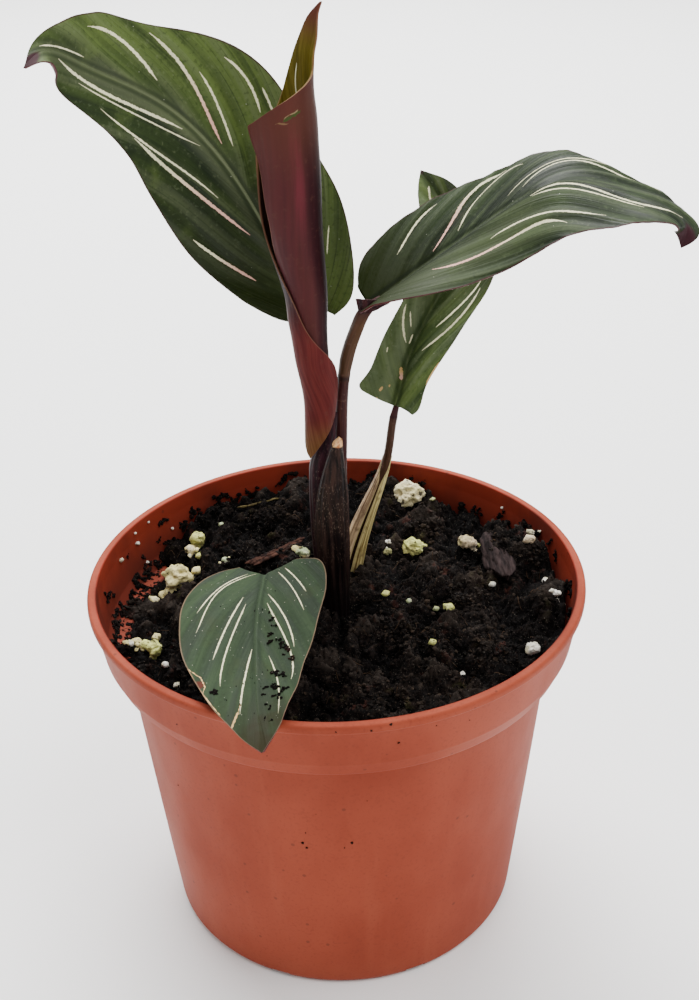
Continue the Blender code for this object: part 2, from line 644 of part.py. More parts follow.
def main():
    model, cutters = clear_scene()
    looks = {
        "pot": material("terracotta_plastic", (0.43, 0.11, 0.06), 0.45),
        "soil": material("soil", (0.012, 0.009, 0.008), 0.95),
        "perlite": material("perlite", (0.72, 0.68, 0.5), 0.9),
        "bark": material("bark", (0.07, 0.04, 0.03), 0.9),
        "blade": material("leaf_green", (0.03, 0.07, 0.025), 0.4),
        "stalk": material("stalk_purple", (0.08, 0.03, 0.03), 0.4),
        "roll": material("leaf_burgundy", (0.12, 0.025, 0.035), 0.4),
        "sheath": material("sheath_brown", (0.04, 0.02, 0.02), 0.6),
        "dry": material("dry_sheath_tan", (0.35, 0.25, 0.14), 0.7),
    }
    add_pot(model, cutters, looks["pot"])
    dents = add_chips(model, cutters, looks)
    add_soil(model, cutters, stem_holes(cutters) + dents, looks["soil"])
    add_crown(model, looks["stalk"])
    add_front_sheath(model, looks["sheath"])
    add_dry_sheath(model, looks["dry"])
    add_roll(model, looks["roll"])
    for key, leaf in LEAVES.items():
        add_stalk(key, model, looks["stalk"])
        add_blade(f"blade_{key}", leaf, model, looks["blade"])


main()
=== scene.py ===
"""Looks for the pinstripe calathea in its terracotta plastic nursery pot, laid out as a Blender add-on.

Lengths are in millimetres unless a name says otherwise. The origin is the middle of the pot's
underside, +Z is up and the photograph looks along +Y.
"""

from math import cos, pi, radians, sin

import bmesh
import bpy
import numpy as np
from bpy.props import FloatProperty, FloatVectorProperty, IntProperty, PointerProperty
from mathutils import Matrix, Vector


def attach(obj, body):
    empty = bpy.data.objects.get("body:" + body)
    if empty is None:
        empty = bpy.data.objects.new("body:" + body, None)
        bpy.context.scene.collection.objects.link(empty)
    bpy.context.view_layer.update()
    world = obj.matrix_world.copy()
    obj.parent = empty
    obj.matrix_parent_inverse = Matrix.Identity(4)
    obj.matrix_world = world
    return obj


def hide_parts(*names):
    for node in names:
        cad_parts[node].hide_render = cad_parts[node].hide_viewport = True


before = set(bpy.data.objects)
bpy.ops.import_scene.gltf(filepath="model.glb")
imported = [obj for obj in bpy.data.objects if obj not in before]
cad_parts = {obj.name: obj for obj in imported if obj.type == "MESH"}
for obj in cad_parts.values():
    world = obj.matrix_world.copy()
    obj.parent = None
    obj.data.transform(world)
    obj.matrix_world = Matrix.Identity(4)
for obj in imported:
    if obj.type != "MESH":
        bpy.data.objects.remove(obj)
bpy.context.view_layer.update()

bl_info = {
    "name": "Pinstripe Calathea",
    "version": (1, 0, 0),
    "blender": (4, 5, 0),
    "location": "3D View > Sidebar > Calathea",
    "description": "A young pinstripe calathea in a terracotta plastic nursery pot",
    "category": "Add Mesh",
}

MM = 0.001

# The pot's outline from the lip down, as radius and height, and its inner wall back up.
POT_OUTER = (
    (59.6, 92), (60, 91.4), (60, 90.1), (59.1, 89.5), (57.4, 79.7), (57.1, 79.1), (55.8, 76.1),
    (55.3, 75.4), (52.6, 75.1), (52.1, 74.4), (44.5, 1.6), (43.5, 0), (40.4, 0), (39.8, 2), (28.6, 2),
    (28, 0),
)
POT_INNER = (
    (26.6, 1.3), (27.8, 3.3), (42.4, 3.3), (43.7, 4.8), (50.8, 76.1), (51.2, 76.7), (54.5, 77.2),
    (56, 79.8), (57.5, 88), (57.8, 92),
)

DRAIN_COUNT = 8
DRAIN_CIRCLE = 34.2
DRAIN_RADIUS = 3.5
# Each outlet through the foot, seen from above before it is turned to its place.
OUTLET = ((39, -2.5), (47, -2.5), (47, 2.5), (39, 2.5))

# Soil: its level at the middle, and how it leans, as in the solid.
SOIL_LEVEL = 81.5
SOIL_TO_BACK = 0.075
SOIL_TO_RIGHT = 0.03
STEM_FOOT = 71.3

# The soil's grid, how far out it may reach, how far its rim stays off the pot's inner wall,
# and its side from the rim down, as height and gap from the wall.
SOIL_RINGS = 128
SOIL_STEPS = 600
SOIL_REACH = 55.5
SOIL_GAP = 0.35
SOIL_SIDE = ((74.4, 0.5), (40, 0.5), (5.2, 0.5), (3.7, 1.6))

# Crumbs and roots start within a reach of the middle, and stay within a limit.
CRUMB_REACH = 54.8
CRUMB_LIMIT = 54.6
ROOT_COUNT = 260
ROOT_REACH = 52
ROOT_LIMIT = 54

# Chains of crumbs all round the pot's inner wall, and the crumbs in each.
WALL_CHAINS = 64
CHAIN_LINKS = 12

# Clods and grit of the soil: size, height and seed.
CLODS = ((9, 2.6, 1), (4.6, 1.6, 2), (2.4, 1.4, 3), (1.25, 1, 5))

# Heaps and hollows on the soil: x, y, radius and height.
HEAPS = (
    (20, -18, 10, 2.6), (9, -36, 9, 1.6), (30, -2, 7, 1.4), (14.5, -11, 6, 1.4), (42, 17, 8, 1.8),
    (-17, 39, 8, 1.6), (24, 30, 7, 1.2), (-30, 44, 6, 2.2), (36, -22, 8, 1.2), (2, -47, 8, -2.6),
    (30, -43, 9, -2.4), (-20, -44, 9, -1.6), (-33, 2, 9, -1.2), (50, 14, 4, 1.6), (4, 30, 7, -0.8),
)

# The soil never sinks below the ledge of the pot's inner wall.
LEDGE_RADIUS = 50.4
LEDGE_LEVEL = 76.6

# How far the soil stands over or under its level beside the wall: angle and height.
SOIL_AT_WALL = (
    (-160, 0.6), (-140, 1.6), (-50, 1.8), (-25, 0.6), (-5, 2.4), (8, 0.8), (15, 2.8), (25, 2.2), (36, -1.6),
    (42, -4), (46, -1.6), (57, -1.2), (63, 0), (97, 2), (105, 0.6), (120, 0.6), (128, 2.4), (133, 1.6),
    (136, -0.7), (144, -0.6), (148.5, -5), (155, -5.4), (165, -5.6), (173, -5), (179, -3.8), (184, -2),
    (190, -0.8), (197, 0.4),
)

# Soil smeared on the pot's inner wall: degrees round it, height over the soil line,
# spread in degrees, spread in height, number of chains and width.
WALL_PATCHES = (
    (140, 0.6, 4, 0.8, 7, 1.3), (149, 2.6, 4, 1.4, 4, 0.9), (158, 1.4, 6, 0.9, 5, 1.1),
    (168, 2.2, 4, 1.4, 2, 0.9), (175, 7, 1.6, 1.2, 3, 0.8), (142, 6.4, 1, 0.9, 3, 1.1),
    (128, 0.8, 5, 0.5, 5, 1.4), (118, 1, 5, 0.6, 4, 1.2), (104, 0.8, 4, 0.6, 4, 1.3),
    (180, 1.6, 5, 0.9, 3, 1), (190, 1.4, 6, 0.9, 3, 1), (41, 2.2, 1.6, 1.2, 4, 1),
    (48, 0.8, 4, 0.5, 3, 1.2), (24, 0.6, 5, 0.6, 3, 1.3), (8, 0.6, 6, 0.6, 3, 1.2),
    (-4, 0.8, 5, 0.7, 2, 1.1), (62, 0.6, 5, 0.4, 3, 1.1), (152, 8.4, 4, 0.9, 1, 0.6),
    (152, 0.3, 4, 0.5, 8, 1.3), (161, 0.3, 4, 0.5, 8, 1.3), (170, 0.3, 4, 0.5, 8, 1.3),
    (180, 0.3, 4, 0.5, 8, 1.2),
)

# The half outline of every blade, as shares of its length and of its half width.
OUTLINE_AT = (0, 0.05, 0.13, 0.27, 0.45, 0.65, 0.85, 1)
OUTLINE_ALONG = (-0.05, -0.01, 0.12, 0.32, 0.54, 0.75, 0.92, 1)
OUTLINE_ACROSS = (0.34, 0.64, 0.88, 1, 0.93, 0.68, 0.3, 0)

# Each blade: midrib points, which way its face looks, turn about the midrib, lift of each half at
# base, middle and tip, half width and each half's share of it. Where given, base moves each half's
# foot along, heel pulls the foot back, square widens it, and sink and tuck place the stalk under it.
LEAVES = {
    "left": {
        "midrib": ((-5.1, 17.7, 154), (-10.9, 12.8, 168.9), (-20.1, 13.6, 186.9), (-33.2, 9.8, 203.3),
                   (-48.6, 0, 214.6), (-54.6, -9.4, 218.8), (-57, -14.4, 217)),
        "face": (0, -1, 0.35),
        "turn": (-19, -3.5, 0),
        "lift": ((0, -3, -3), (-3, 11, 8)),
        "half_width": 17.0,
        "shares": ((0.9, 1.12, 1.11, 0.93, 0.2), (0.76, 1.07, 0.94, 0.8, 0.75)),
    },
    "right": {
        "midrib": ((10.5, 1.6, 161.9), (25.7, 1.4, 173), (37.4, -1.8, 182.6), (48.9, -5.7, 189.4),
                   (62.4, -8.7, 187.4), (70.2, -11.4, 184.9), (74, -13, 181.3), (73, -13.4, 176.9)),
        "face": (0, -0.3, 1),
        "turn": (-10, 4, -16),
        "base": (0, 0.02),
        "heel": 2.2,
        "lift": ((26, -13, 12), (22, -4, -12)),
        "half_width": 16.3,
        "shares": ((0.93, 0.93, 1.08, 1.03, 1), (1.0, 0.97, 0.86, 0.98, 1)),
    },
    "back": {
        "midrib": ((15.2, 13, 130), (19.8, 19.6, 142.5), (27, 26, 153.5), (31.6, 32.6, 161.5),
                   (29, 39.4, 169), (23.2, 46, 177)),
        "face": (-0.3, -1, 0.3),
        "turn": (0, 0, -6),
        "base": (0.028, 0.073),
        "square": 0.36,
        "lift": ((36, 36, 28), (34, 38, 26)),
        "half_width": 14.0,
        "shares": ((0.65, 0.82, 1, 1, 0.9), (0.95, 0.56, 0.8, 0.95, 1)),
    },
    "low": {
        "midrib": ((-16.9, -9.7, 98.4), (-18.2, -27, 97.4), (-17.9, -43.5, 94.9), (-17.2, -55.5, 94.8),
                   (-16, -68.1, 92.7)),
        "face": (0, -0.3, 1),
        "turn": (11, 1, 15),
        "lift": ((6, 6, 4), (9, 5.5, 7)),
        "half_width": 16.4,
        "shares": ((1.12, 1.06, 0.97, 0.84, 0.81), (1.35, 0.9, 0.72, 0.74, 0.83)),
        "sink": 2.2,
        "tuck": (4.5, 1.6),
    },
}

# Thickness at the margin and at the midrib.
BLADE_EDGE = 0.5
BLADE_RIB = 1.3

# Points along a blade's midrib and across the blade.
MIDRIB_POINTS = 241
BLADE_COLUMNS = 81

# How each blade is folded. Its folds have a spacing in mm, a height in each half and a shift between
# the halves. Sway moves the margin up and down, and swing in and out: reach, waves and start of each half.
RELIEF = {
    "left": {
        "spacing": 6.4, "height": (0.42, 0.46), "sway": 0.9, "shift": 1.2,
        "swing": ((1.3, 3.27, 0.355), (0.3, 3.3, 0.1)),
    },
    "right": {
        "spacing": 4.6, "height": (0.26, 0.4), "sway": 0.25, "shift": 0.6,
        "swing": ((0, 3, 0.2), (0.4, 3.4, 0.1)),
    },
    "back": {
        "spacing": 5.2, "height": (0.3, 0.36), "sway": 0.4, "shift": 0.9,
        "swing": ((0.4, 3, 0.1), (0.4, 2.6, 0.1)),
    },
    "low": {
        "spacing": 6, "height": (0.1, 0.1), "sway": 0.1, "shift": 0.4,
        "swing": ((0.15, 4, 0.1), (0.2, 4, 0.3)),
    },
}

# Which way each blade's side veins run: distance along the midrib and the angle in degrees
# between vein and midrib, first for the half at positive t, then for the other.
VEINS = {
    "left": (((0, 38), (15, 30), (45, 20), (75, 15), (98, 10)),
             ((0, 38), (15, 26), (35, 13), (55, 6), (98, 3))),
    "right": (((0, 28), (15, 15), (35, 10), (55, 5), (81, 2)),
              ((0, 44), (15, 33), (35, 29), (50, 18), (65, 10), (81, 3))),
    "back": (((0, 32), (20, 22), (40, 20), (64, 10)), ((0, 38), (20, 32), (40, 20), (64, 10))),
    "low": (((0, 34), (15, 24), (30, 15), (45, 10), (59, 4)),
            ((0, 34), (15, 25), (30, 16), (45, 8), (59, 4))),
}

# Pinstripes on the flat blade: start and end as distance along the midrib and out from it, bow and
# sway sideways, width, and the two colours it runs between where they aren't both cream.
STRIPES = {
    "left": (
        ((80.9, 7.2), (62.4, 3.5), -2.1, -0.4, 1.15),
        ((67.2, 11.4), (43.6, 2.1), 0, -0.5, 1.15, "cream", "pink"),
        ((56.4, 9.8), (41.8, 3.7), 0.1, -0.1, 0.85),
        ((54.6, 15.4), (43.6, 12.8), -1, -0.1, 1),
        ((46.6, 16.5), (42.2, 15), 0, 0, 0.8),
        ((91.2, 1.1), (79.5, 1.4), 0.1, 0.1, 0.55),
        ((85.9, -1.1), (52.3, -1.8), 2.2, 0, 1.1),
        ((79.2, -3.8), (46.6, -1.7), 2.1, -0.3, 0.55),
        ((72.1, -6.8), (34.5, -5.5), 2.8, 0.4, 0.75),
        ((62.1, -9.4), (23.4, -3.7), 3, 0.1, 1.25, "cream", "pink"),
        ((29, -15.2), (12, -7.7), 0.4, 0.1, 1, "cream", "pink"),
        ((18, 13.1), (12.3, 9.9), 0.1, 0, 0.5),
    ),
    "right": (
        ((8.6, -6.8), (20, -14), -0.6, 0.2, 0.48),
        ((15.9, -1.6), (35.6, -12.6), -2.3, 1.3, 0.95, "pink", "cream"),
        ((22.7, -2.4), (39.3, -11.8), -2.6, 0.5, 0.65),
        ((35.7, -3.1), (58.7, -10.6), -2.2, -0.4, 0.65),
        ((39.5, -3.1), (68, -7.9), -3.2, -0.6, 0.55),
        ((41.2, 1.1), (74.7, -0.3), 1.4, -1.6, 0.65),
        ((41.6, 1.4), (66.4, 3.5), 0.1, -0.1, 0.5),
        ((30, 5.9), (59, 8.5), 0.2, -0.9, 0.65),
        ((14.4, 4.1), (50.3, 11.4), 1, 1.8, 0.95, "pink", "cream"),
    ),
    "back": (
        ((22.3, -6.7), (14.8, -2), 0.6, 0, 0.8),
        ((21.5, -4.8), (18.5, -2.6), 0, 0, 0.5),
        ((17.3, -1.3), (14.9, -1.2), 0, 0, 0.6),
        ((9.2, -1.2), (6.3, -0.2), 0, 0, 1.3, "tan", "pink"),
        ((3.6, -4.4), (2.4, -4.9), 0, 0, 0.9, "tan", "tan"),
        ((4.5, -2.8), (3.9, -2.7), 0, 0, 0.5, "tan", "tan"),
        ((0.9, -5.2), (0.3, -5), 0, 0, 0.5, "tan", "tan"),
        ((12.4, -6.2), (11.2, -5.9), 0, 0, 0.4),
        ((20.9, 4.2), (34.4, 9.6), 0.5, 0, 0.8),
        ((14.3, 3.4), (32.6, 10.3), 1.8, -0.1, 0.85),
        ((6.2, 8.3), (13.1, 10.5), -0.2, 0, 0.9, "tan", "tan"),
        ((59, -0.5), (55.6, -2.3), 0, 0, 0.7),
    ),
    "low": (
        ((0, 3.9), (16.2, 13.5), 1.6, 0.4, 0.6),
        ((0.1, 1.9), (22.4, 13.2), 3.1, 1, 0.6),
        ((9.8, 3.7), (30.4, 9.3), 0, -0.1, 0.85),
        ((12.4, 2.8), (38.7, 7.7), 0.6, -0.4, 0.75),
        ((26.9, 0.8), (47.8, 3.8), 0.3, 0, 0.8),
        ((-0.1, -5.2), (10.2, -11.1), -0.3, 0, 0.6),
        ((0.9, -3.6), (16.5, -10.8), -0.7, 0, 0.6),
        ((9, -2), (27.9, -8.5), -1.3, 0.1, 0.75),
        ((12.3, -2.1), (39.3, -7.5), -2, 0.5, 0.75),
        ((29.7, -2.9), (50, -4.2), -1.1, 0, 0.6),
    ),
}

# How much thinner each blade's stripes look than their full width.
STRIPE_SLIM = {"left": 0.64, "right": 0.78, "back": 0.75, "low": 0.52}

# Dry places on the low leaf: start, end and half width on its flat place, and where it is torn.
WEAR = (
    ((33.3, 14.6), (36, 11.8), 0.16), ((36, 11.8), (39, 10.9), 0.18), ((39, 10.9), (41, 11.4), 0.13),
    ((41, 11.4), (44.2, 9.7), 0.18), ((33.3, 14.6), (39, 12.5), 0.14), ((39, 12.5), (44.2, 9.7), 0.18),
    ((44.2, 9.7), (47.4, 7.9), 0.15), ((45, 3.6), (47.4, 4.2), 0.13), ((47.4, 4.2), (52.4, 6.2), 0.26),
)
TORN_AT = (38.2, 12.1, 0)

# Soil on the low leaf: distance along the midrib, out from it, spread, chains, crumbs in each, and width.
DEBRIS = (
    (15, -2.6, 0.8, 2, 3, 0.4), (20.5, -3.2, 0.7, 2, 5, 0.6), (24.5, -3.4, 0.8, 3, 6, 0.7),
    (26, -6.4, 0.9, 4, 7, 0.8), (29, -5, 1, 2, 4, 0.5), (32, -7.4, 0.7, 3, 5, 0.6),
    (35.5, -4.2, 0.8, 3, 6, 0.7), (37, -6.2, 1, 2, 5, 0.5), (41.5, -2, 0.7, 3, 5, 0.6),
    (42.5, -5.2, 0.8, 4, 7, 0.7), (45.5, -4.4, 0.8, 3, 6, 0.6), (47, -2.8, 0.7, 2, 4, 0.5),
    (50, -1.2, 0.8, 2, 5, 0.4), (36, -2, 4, 10, 1, 0.35), (15, 3, 8, 8, 1, 0.3), (40, 3, 6, 6, 1, 0.3),
    (40.4, 9.2, 0.6, 3, 5, 0.7), (45.5, 5, 2.4, 3, 3, 0.3),
)

# Each leaf stalk: points up to just short of its blade, and radius at foot and top.
STALKS = {
    "left": (((-2.4, 12, STEM_FOOT), (-2.6, 12.6, 90), (-3.6, 14, 115), (-4, 16, 136)), 1.9, 1.35),
    "right": (((1.0, 7.4, STEM_FOOT), (1.1, 7.2, 90), (1.5, 6.7, 110), (2.1, 6.1, 126), (2.7, 6, 138),
               (4.2, 5.3, 147.5), (6.4, 3.9, 154.5)), 1.7, 1.25),
    "back": (((0.6, 14.4, STEM_FOOT), (4.4, 14.2, 90), (9.8, 13.2, 106), (13.5, 12.0, 119)), 1.15, 0.95),
    "low": (((-5.5, 1, STEM_FOOT), (-6.6, -0.5, 86), (-10, -3, 91), (-14, -6.0, 92.5)), 1.2, 0.9),
}

# Young rolled leaf, one row for each height: z, axis x, axis y, radius at its front,
# and the two angles in degrees where the rolled sheet starts and ends.
ROLL_ROWS = (
    (123, -3.8, 3, 1.9, -105, 240), (127, -3.6, 2.9, 1.9, -110, 292), (133, -3.1, 2.7, 2, -115, 352),
    (139, -2.8, 2.5, 2.5, -120, 374), (144.5, -3.3, 2.3, 2.9, -120, 352), (149, -3.8, 2.1, 3.2, -122, 322),
    (153, -4.2, 2, 3.6, -124, 286), (157, -4.5, 1.9, 4, -126, 260), (162, -4.6, 1.8, 4.3, -128, 236),
    (167, -5.2, 1.7, 4.8, -131, 216), (173, -6.2, 1.6, 5.5, -135, 202), (179, -7, 1.5, 6.1, -140, 192),
    (185, -7.3, 1.5, 6.4, -150, 184), (191, -7.4, 1.5, 6.5, -158, 174), (196, -7.8, 1.5, 6.7, -164, 146),
    (200, -8.1, 1.5, 6.9, -166, 116), (203.5, -8.3, 1.5, 6.9, -146, 98), (206.5, -8.4, 1.5, 6.7, -104, 88),
    (209, -8.1, 1.5, 6.3, -52, 84), (211.7, -7.4, 1.5, 5.7, -8, 82), (215, -6.2, 1.5, 4.9, 10, 82),
    (218.5, -4.5, 1.5, 4.1, 22, 84), (222, -3.1, 1.5, 3.5, 40, 76), (224.4, -1.3, 1.5, 3.1, 57, 65),
)

# How far the sheet moves out in one turn, its thickness, and its points up and round.
ROLL_PITCH = 1.5
ROLL_THICKNESS = 0.5
ROLL_POINTS = (230, 113)

# Where the sheet starts beside its pointed corner: z and angle in degrees.
ROLL_CORNER = ((191, -158), (196, -166), (200.6, -172), (203.2, -136), (206.2, -96), (209, -52))

# Points up and round each stalk and sheath.
STALK_POINTS = (90, 28)
CROWN_POINTS = (110, 64)
FRONT_SHEATH_POINTS = (110, 126)
DRY_SHEATH_POINTS = (90, 65)

# Stem of wrapped sheaths: z, x, y and radius.
CROWN_ROWS = (
    (STEM_FOOT, 0.2, 6, 4.2), (84, -0.8, 5.4, 4), (98, -2.2, 4.4, 3.4), (110, -3, 3.5, 2.9),
    (117, -3.2, 3.1, 2.6), (122, -2.7, 3.2, 2.45), (126, -1.4, 3.5, 1.9), (129.5, -0.2, 3.9, 1.3),
    (133, 0.9, 4.4, 0.4),
)

# Short ribbed sheath in front of the stem: z, x, y and half axes, and where its cut end starts.
FRONT_SHEATH_ROWS = (
    (STEM_FOOT, 0.4, -1.6, 2.6, 2.2), (82, 0.3, -1.9, 2.9, 2.5), (92, 0, -2.4, 3.4, 2.7),
    (102, -0.2, -2.8, 3.8, 2.6), (112, -0.1, -2.7, 3.7, 2.3), (120, 0.5, -2.2, 2.8, 1.9),
    (125.4, 1.1, -1.8, 1.7, 1.4), (128.2, 1.4, -1.6, 1.15, 1.1),
)
SHEATH_CUT = 127.2

# Dry sheath round the back stalk: z, radius and half its split in degrees.
DRY_SHEATH_ROWS = (
    (STEM_FOOT, 3.8, 6), (84, 3.5, 8), (92, 3, 9), (99, 2.5, 9), (105, 2, 9), (111, 1.5, 9), (117, 1.15, 9),
)

# The flap's top and bottom edge, from left to right.
BASE_FOLD = (
    ((5.9, -2.2, 163.3), (9.4, -3.4, 163.5), (13.8, -3.6, 163.1)),
    ((6.5, -1.6, 160.0), (8.4, -1.8, 159.6), (12.9, -3.2, 162.3)),
)

# Perlite lumps of the solid: x, y, width, tint, and the pits in it as direction and depth.
PERLITE = (
    (20.2, 46, 7.4, "cream",
     ((0.2, -0.6, 0.75, 0.4), (0.8, -0.5, 0.2, 0.35), (-0.7, -0.6, 0.3, 0.3), (0.1, -1, -0.3, 0.45))),
    (20.3, 22.7, 5, "lime", ((0, -0.8, 0.6, 0.3), (-0.7, -0.5, 0.1, 0.3))),
    (34.1, 21.4, 4, "tan", ((0.3, -0.6, 0.5, 0.25),)),
    (13.8, 23.6, 3.3, "moss", ()),
    (52.7, -3.8, 4.4, "white", ((-0.4, -0.7, 0.4, 0.2),)),
    (52.9, 4.6, 3, "white", ()),
    (45.2, -20.9, 3.5, "white", ()),
    (-36.6, 32.6, 3.7, "lime", ((0.2, -0.7, 0.5, 0.2),)),
    (-40.4, 15.3, 6.6, "straw", ((0.4, -0.5, 0.7, 0.35), (-0.5, -0.6, 0.5, 0.3))),
    (-43.8, -12.5, 3.6, "lime", ()),
    (-8.4, 23, 3.4, "moss", ((-0.5, -0.6, 0.4, 0.35),)),
    (27.2, -3.1, 2.6, "lime", ()),
)

# Share of a lump that is under the soil.
PERLITE_SUNK = 0.3

# Small perlite and algae bits: x, y, width and tint.
BITS = (
    (48.8, 14.7, 2.9, "tan"), (24, -3.2, 1.5, "moss"), (21.8, -20.7, 1.8, "lime"), (12.1, 2.3, 2, "lime"),
    (38.6, 4.8, 1.7, "white"), (28.6, -25.9, 1.5, "white"), (37.4, 22.8, 1.5, "lime"),
    (26.6, 42.4, 1.5, "moss"), (21.2, 38.2, 2, "lime"), (3.6, 30.1, 2, "moss"), (50.4, 22, 2, "white"),
    (-40.5, -20.8, 1.9, "white"), (-37.8, -25.3, 1.8, "white"), (-42.5, 13.2, 3.2, "straw"),
    (-38.3, 18.4, 3.4, "straw"), (-46.5, 12.6, 2.6, "straw"), (-44.2, 14.4, 3, "straw"),
    (-36.2, 20.2, 2.8, "straw"), (-38.2, 29.8, 3, "straw"), (-35.8, 26.6, 2.2, "lime"),
    (-49, -6.6, 2.4, "straw"), (-46.6, -8.5, 2.8, "lime"), (-44.2, -7.2, 2.4, "straw"),
    (-50.2, -9.2, 1.8, "white"), (-28.6, 22.4, 2.1, "moss"), (-30.4, 37, 1.6, "moss"),
    (-10.2, 24.2, 2.4, "straw"), (17.6, -1, 1.4, "moss"),
)

# Small perlite on the pot's inner wall: degrees round it, height and width.
WALL_BITS = (
    (154, 86.9, 1.4), (148, 90, 0.8), (154, 89.9, 0.8), (163, 87.1, 1.3), (152, 80.3, 0.9),
    (140, 84.4, 0.9), (39, 88, 0.7), (23, 88.5, 0.9),
)

# Heaps of small perlite: start and end on the soil, spread, number, width and tint.
CLUSTERS = (
    ((-43.5, 12.5), (-38, 18), 0.8, 16, 2.6, "straw"), ((-42, 14), (-38.5, 17), 0.7, 10, 2.2, "cream"),
    ((-38.2, 28.4), (-36, 33), 0.7, 9, 2.2, "straw"), ((-37.6, 30), (-36.2, 32), 0.8, 5, 1.7, "lime"),
    ((-51, -9.4), (-43.6, -6.8), 0.5, 14, 1.6, "straw"), ((-44.6, -12.9), (-43, -12.1), 0.4, 4, 2, "lime"),
    ((-9.6, 22.6), (-7.2, 23.2), 0.4, 4, 1.9, "straw"), ((19.2, 22.2), (21.4, 23.2), 0.5, 6, 1.9, "lime"),
    ((33, 21), (35.4, 21.8), 0.5, 6, 1.6, "tan"), ((13, 23.2), (14.6, 24), 0.4, 4, 1.5, "white"),
    ((18.4, 45.2), (22, 46.8), 0.9, 8, 2.4, "cream"), ((51.6, -4.2), (53.8, -3.2), 0.5, 5, 1.6, "white"),
    ((3.2, 29.6), (4.6, 31.2), 0.6, 5, 1.3, "moss"), ((-29.4, 21.8), (-27.4, 23.2), 0.4, 4, 1.1, "straw"),
)

# Bark twig and fibre: start, end, thickness, height over the soil, and strands.
BARK_TWIG = ((-22.6, 18.2), (-7.4, 29.9), 0.62, 0.3, 6)
FIBRE = ((-26.5, 45.6), (-8.3, 51.4), 0.5, 0.9, 1)

# The dark bark flake's place and size.
BARK_FLAKE_AT = (41.0, 15.0)
BARK_FLAKE_SIZE = (7.2, 23.0, 4.4)

# Soil specks on the pot's front, as degrees round it, height and width.
FRONT_SPECKS = (
    (-101, 50.4, 0.6), (-100, 48.9, 0.6), (-90, 49.2, 0.4), (-88, 50.8, 0.7), (-100, 53.8, 0.4),
    (-78, 85.2, 0.6), (-84, 90.7, 0.6), (-80, 91.6, 0.6), (-91, 90.9, 0.5), (-141, 53.8, 0.4),
    (-70, 88, 0.3), (-128, 83, 0.4), (-106, 81.5, 0.3), (-62, 86.4, 0.4), (-97, 60.2, 0.2), (-84, 64, 0.2),
)

# The camera that fits the photograph: place in metres, angles in radians and lens in mm.
CAMERA_PLACE = (0.0, -0.2977, 0.2801)
CAMERA_YAW = 0.0121
CAMERA_PITCH = 0.5139
CAMERA_ROLL = -0.0235
CAMERA_LENS = 52.2

# The floor's half width, and the strength of the white sky.
FLOOR_REACH = 2500.0
WORLD_STRENGTH = 0.7

# Lights: name, place and aim in metres, width in metres, power in watts and spread in degrees.
LIGHTS = (
    ("top", (0.5, -0.35, 1.25), (0, 0, 0.08), 0.9, 12.0, 180),
    ("back", (-0.1, 1.0, 1.3), (0, 0.7, 0), 1.6, 32.0, 105),
    ("left", (-0.85, 0.1, 0.5), (0, 0, 0.08), 0.6, 0.5, 180),
    ("right", (0.85, 0.1, 0.5), (0, 0, 0.06), 0.6, 1.2, 180),
)


def tone(red, green, blue):
    """A screen colour from 0 to 255 as the linear colour that a shader takes."""
    share = np.array([red, green, blue]) / 255
    linear = np.where(share <= 0.04045, share / 12.92, ((share + 0.055) / 1.055) ** 2.4)
    return (*(float(value) for value in linear), 1.0)


# Tones of the perlite and of the pinstripes.
TINTS = {
    "cream": tone(232, 220, 176),
    "lime": tone(206, 210, 124),
    "tan": tone(196, 176, 146),
    "moss": tone(150, 164, 122),
    "white": tone(226, 222, 212),
    "straw": tone(214, 202, 144),
}
STRIPE_TONES = {"cream": tone(232, 228, 188), "pink": tone(230, 178, 160), "tan": tone(205, 168, 108)}

# Scraped lines near the rolled leaf's top: start and end as run round it and height, width and tone.
ROLL_SCARS = (
    ((-10.6, 203), (-6.6, 205), 0.6, tone(58, 68, 34)),
    ((-10.4, 203.5), (-7.2, 205.2), 0.22, tone(130, 112, 82)),
    ((-12.4, 202.4), (-9.6, 202.7), 0.3, tone(112, 84, 60)),
)

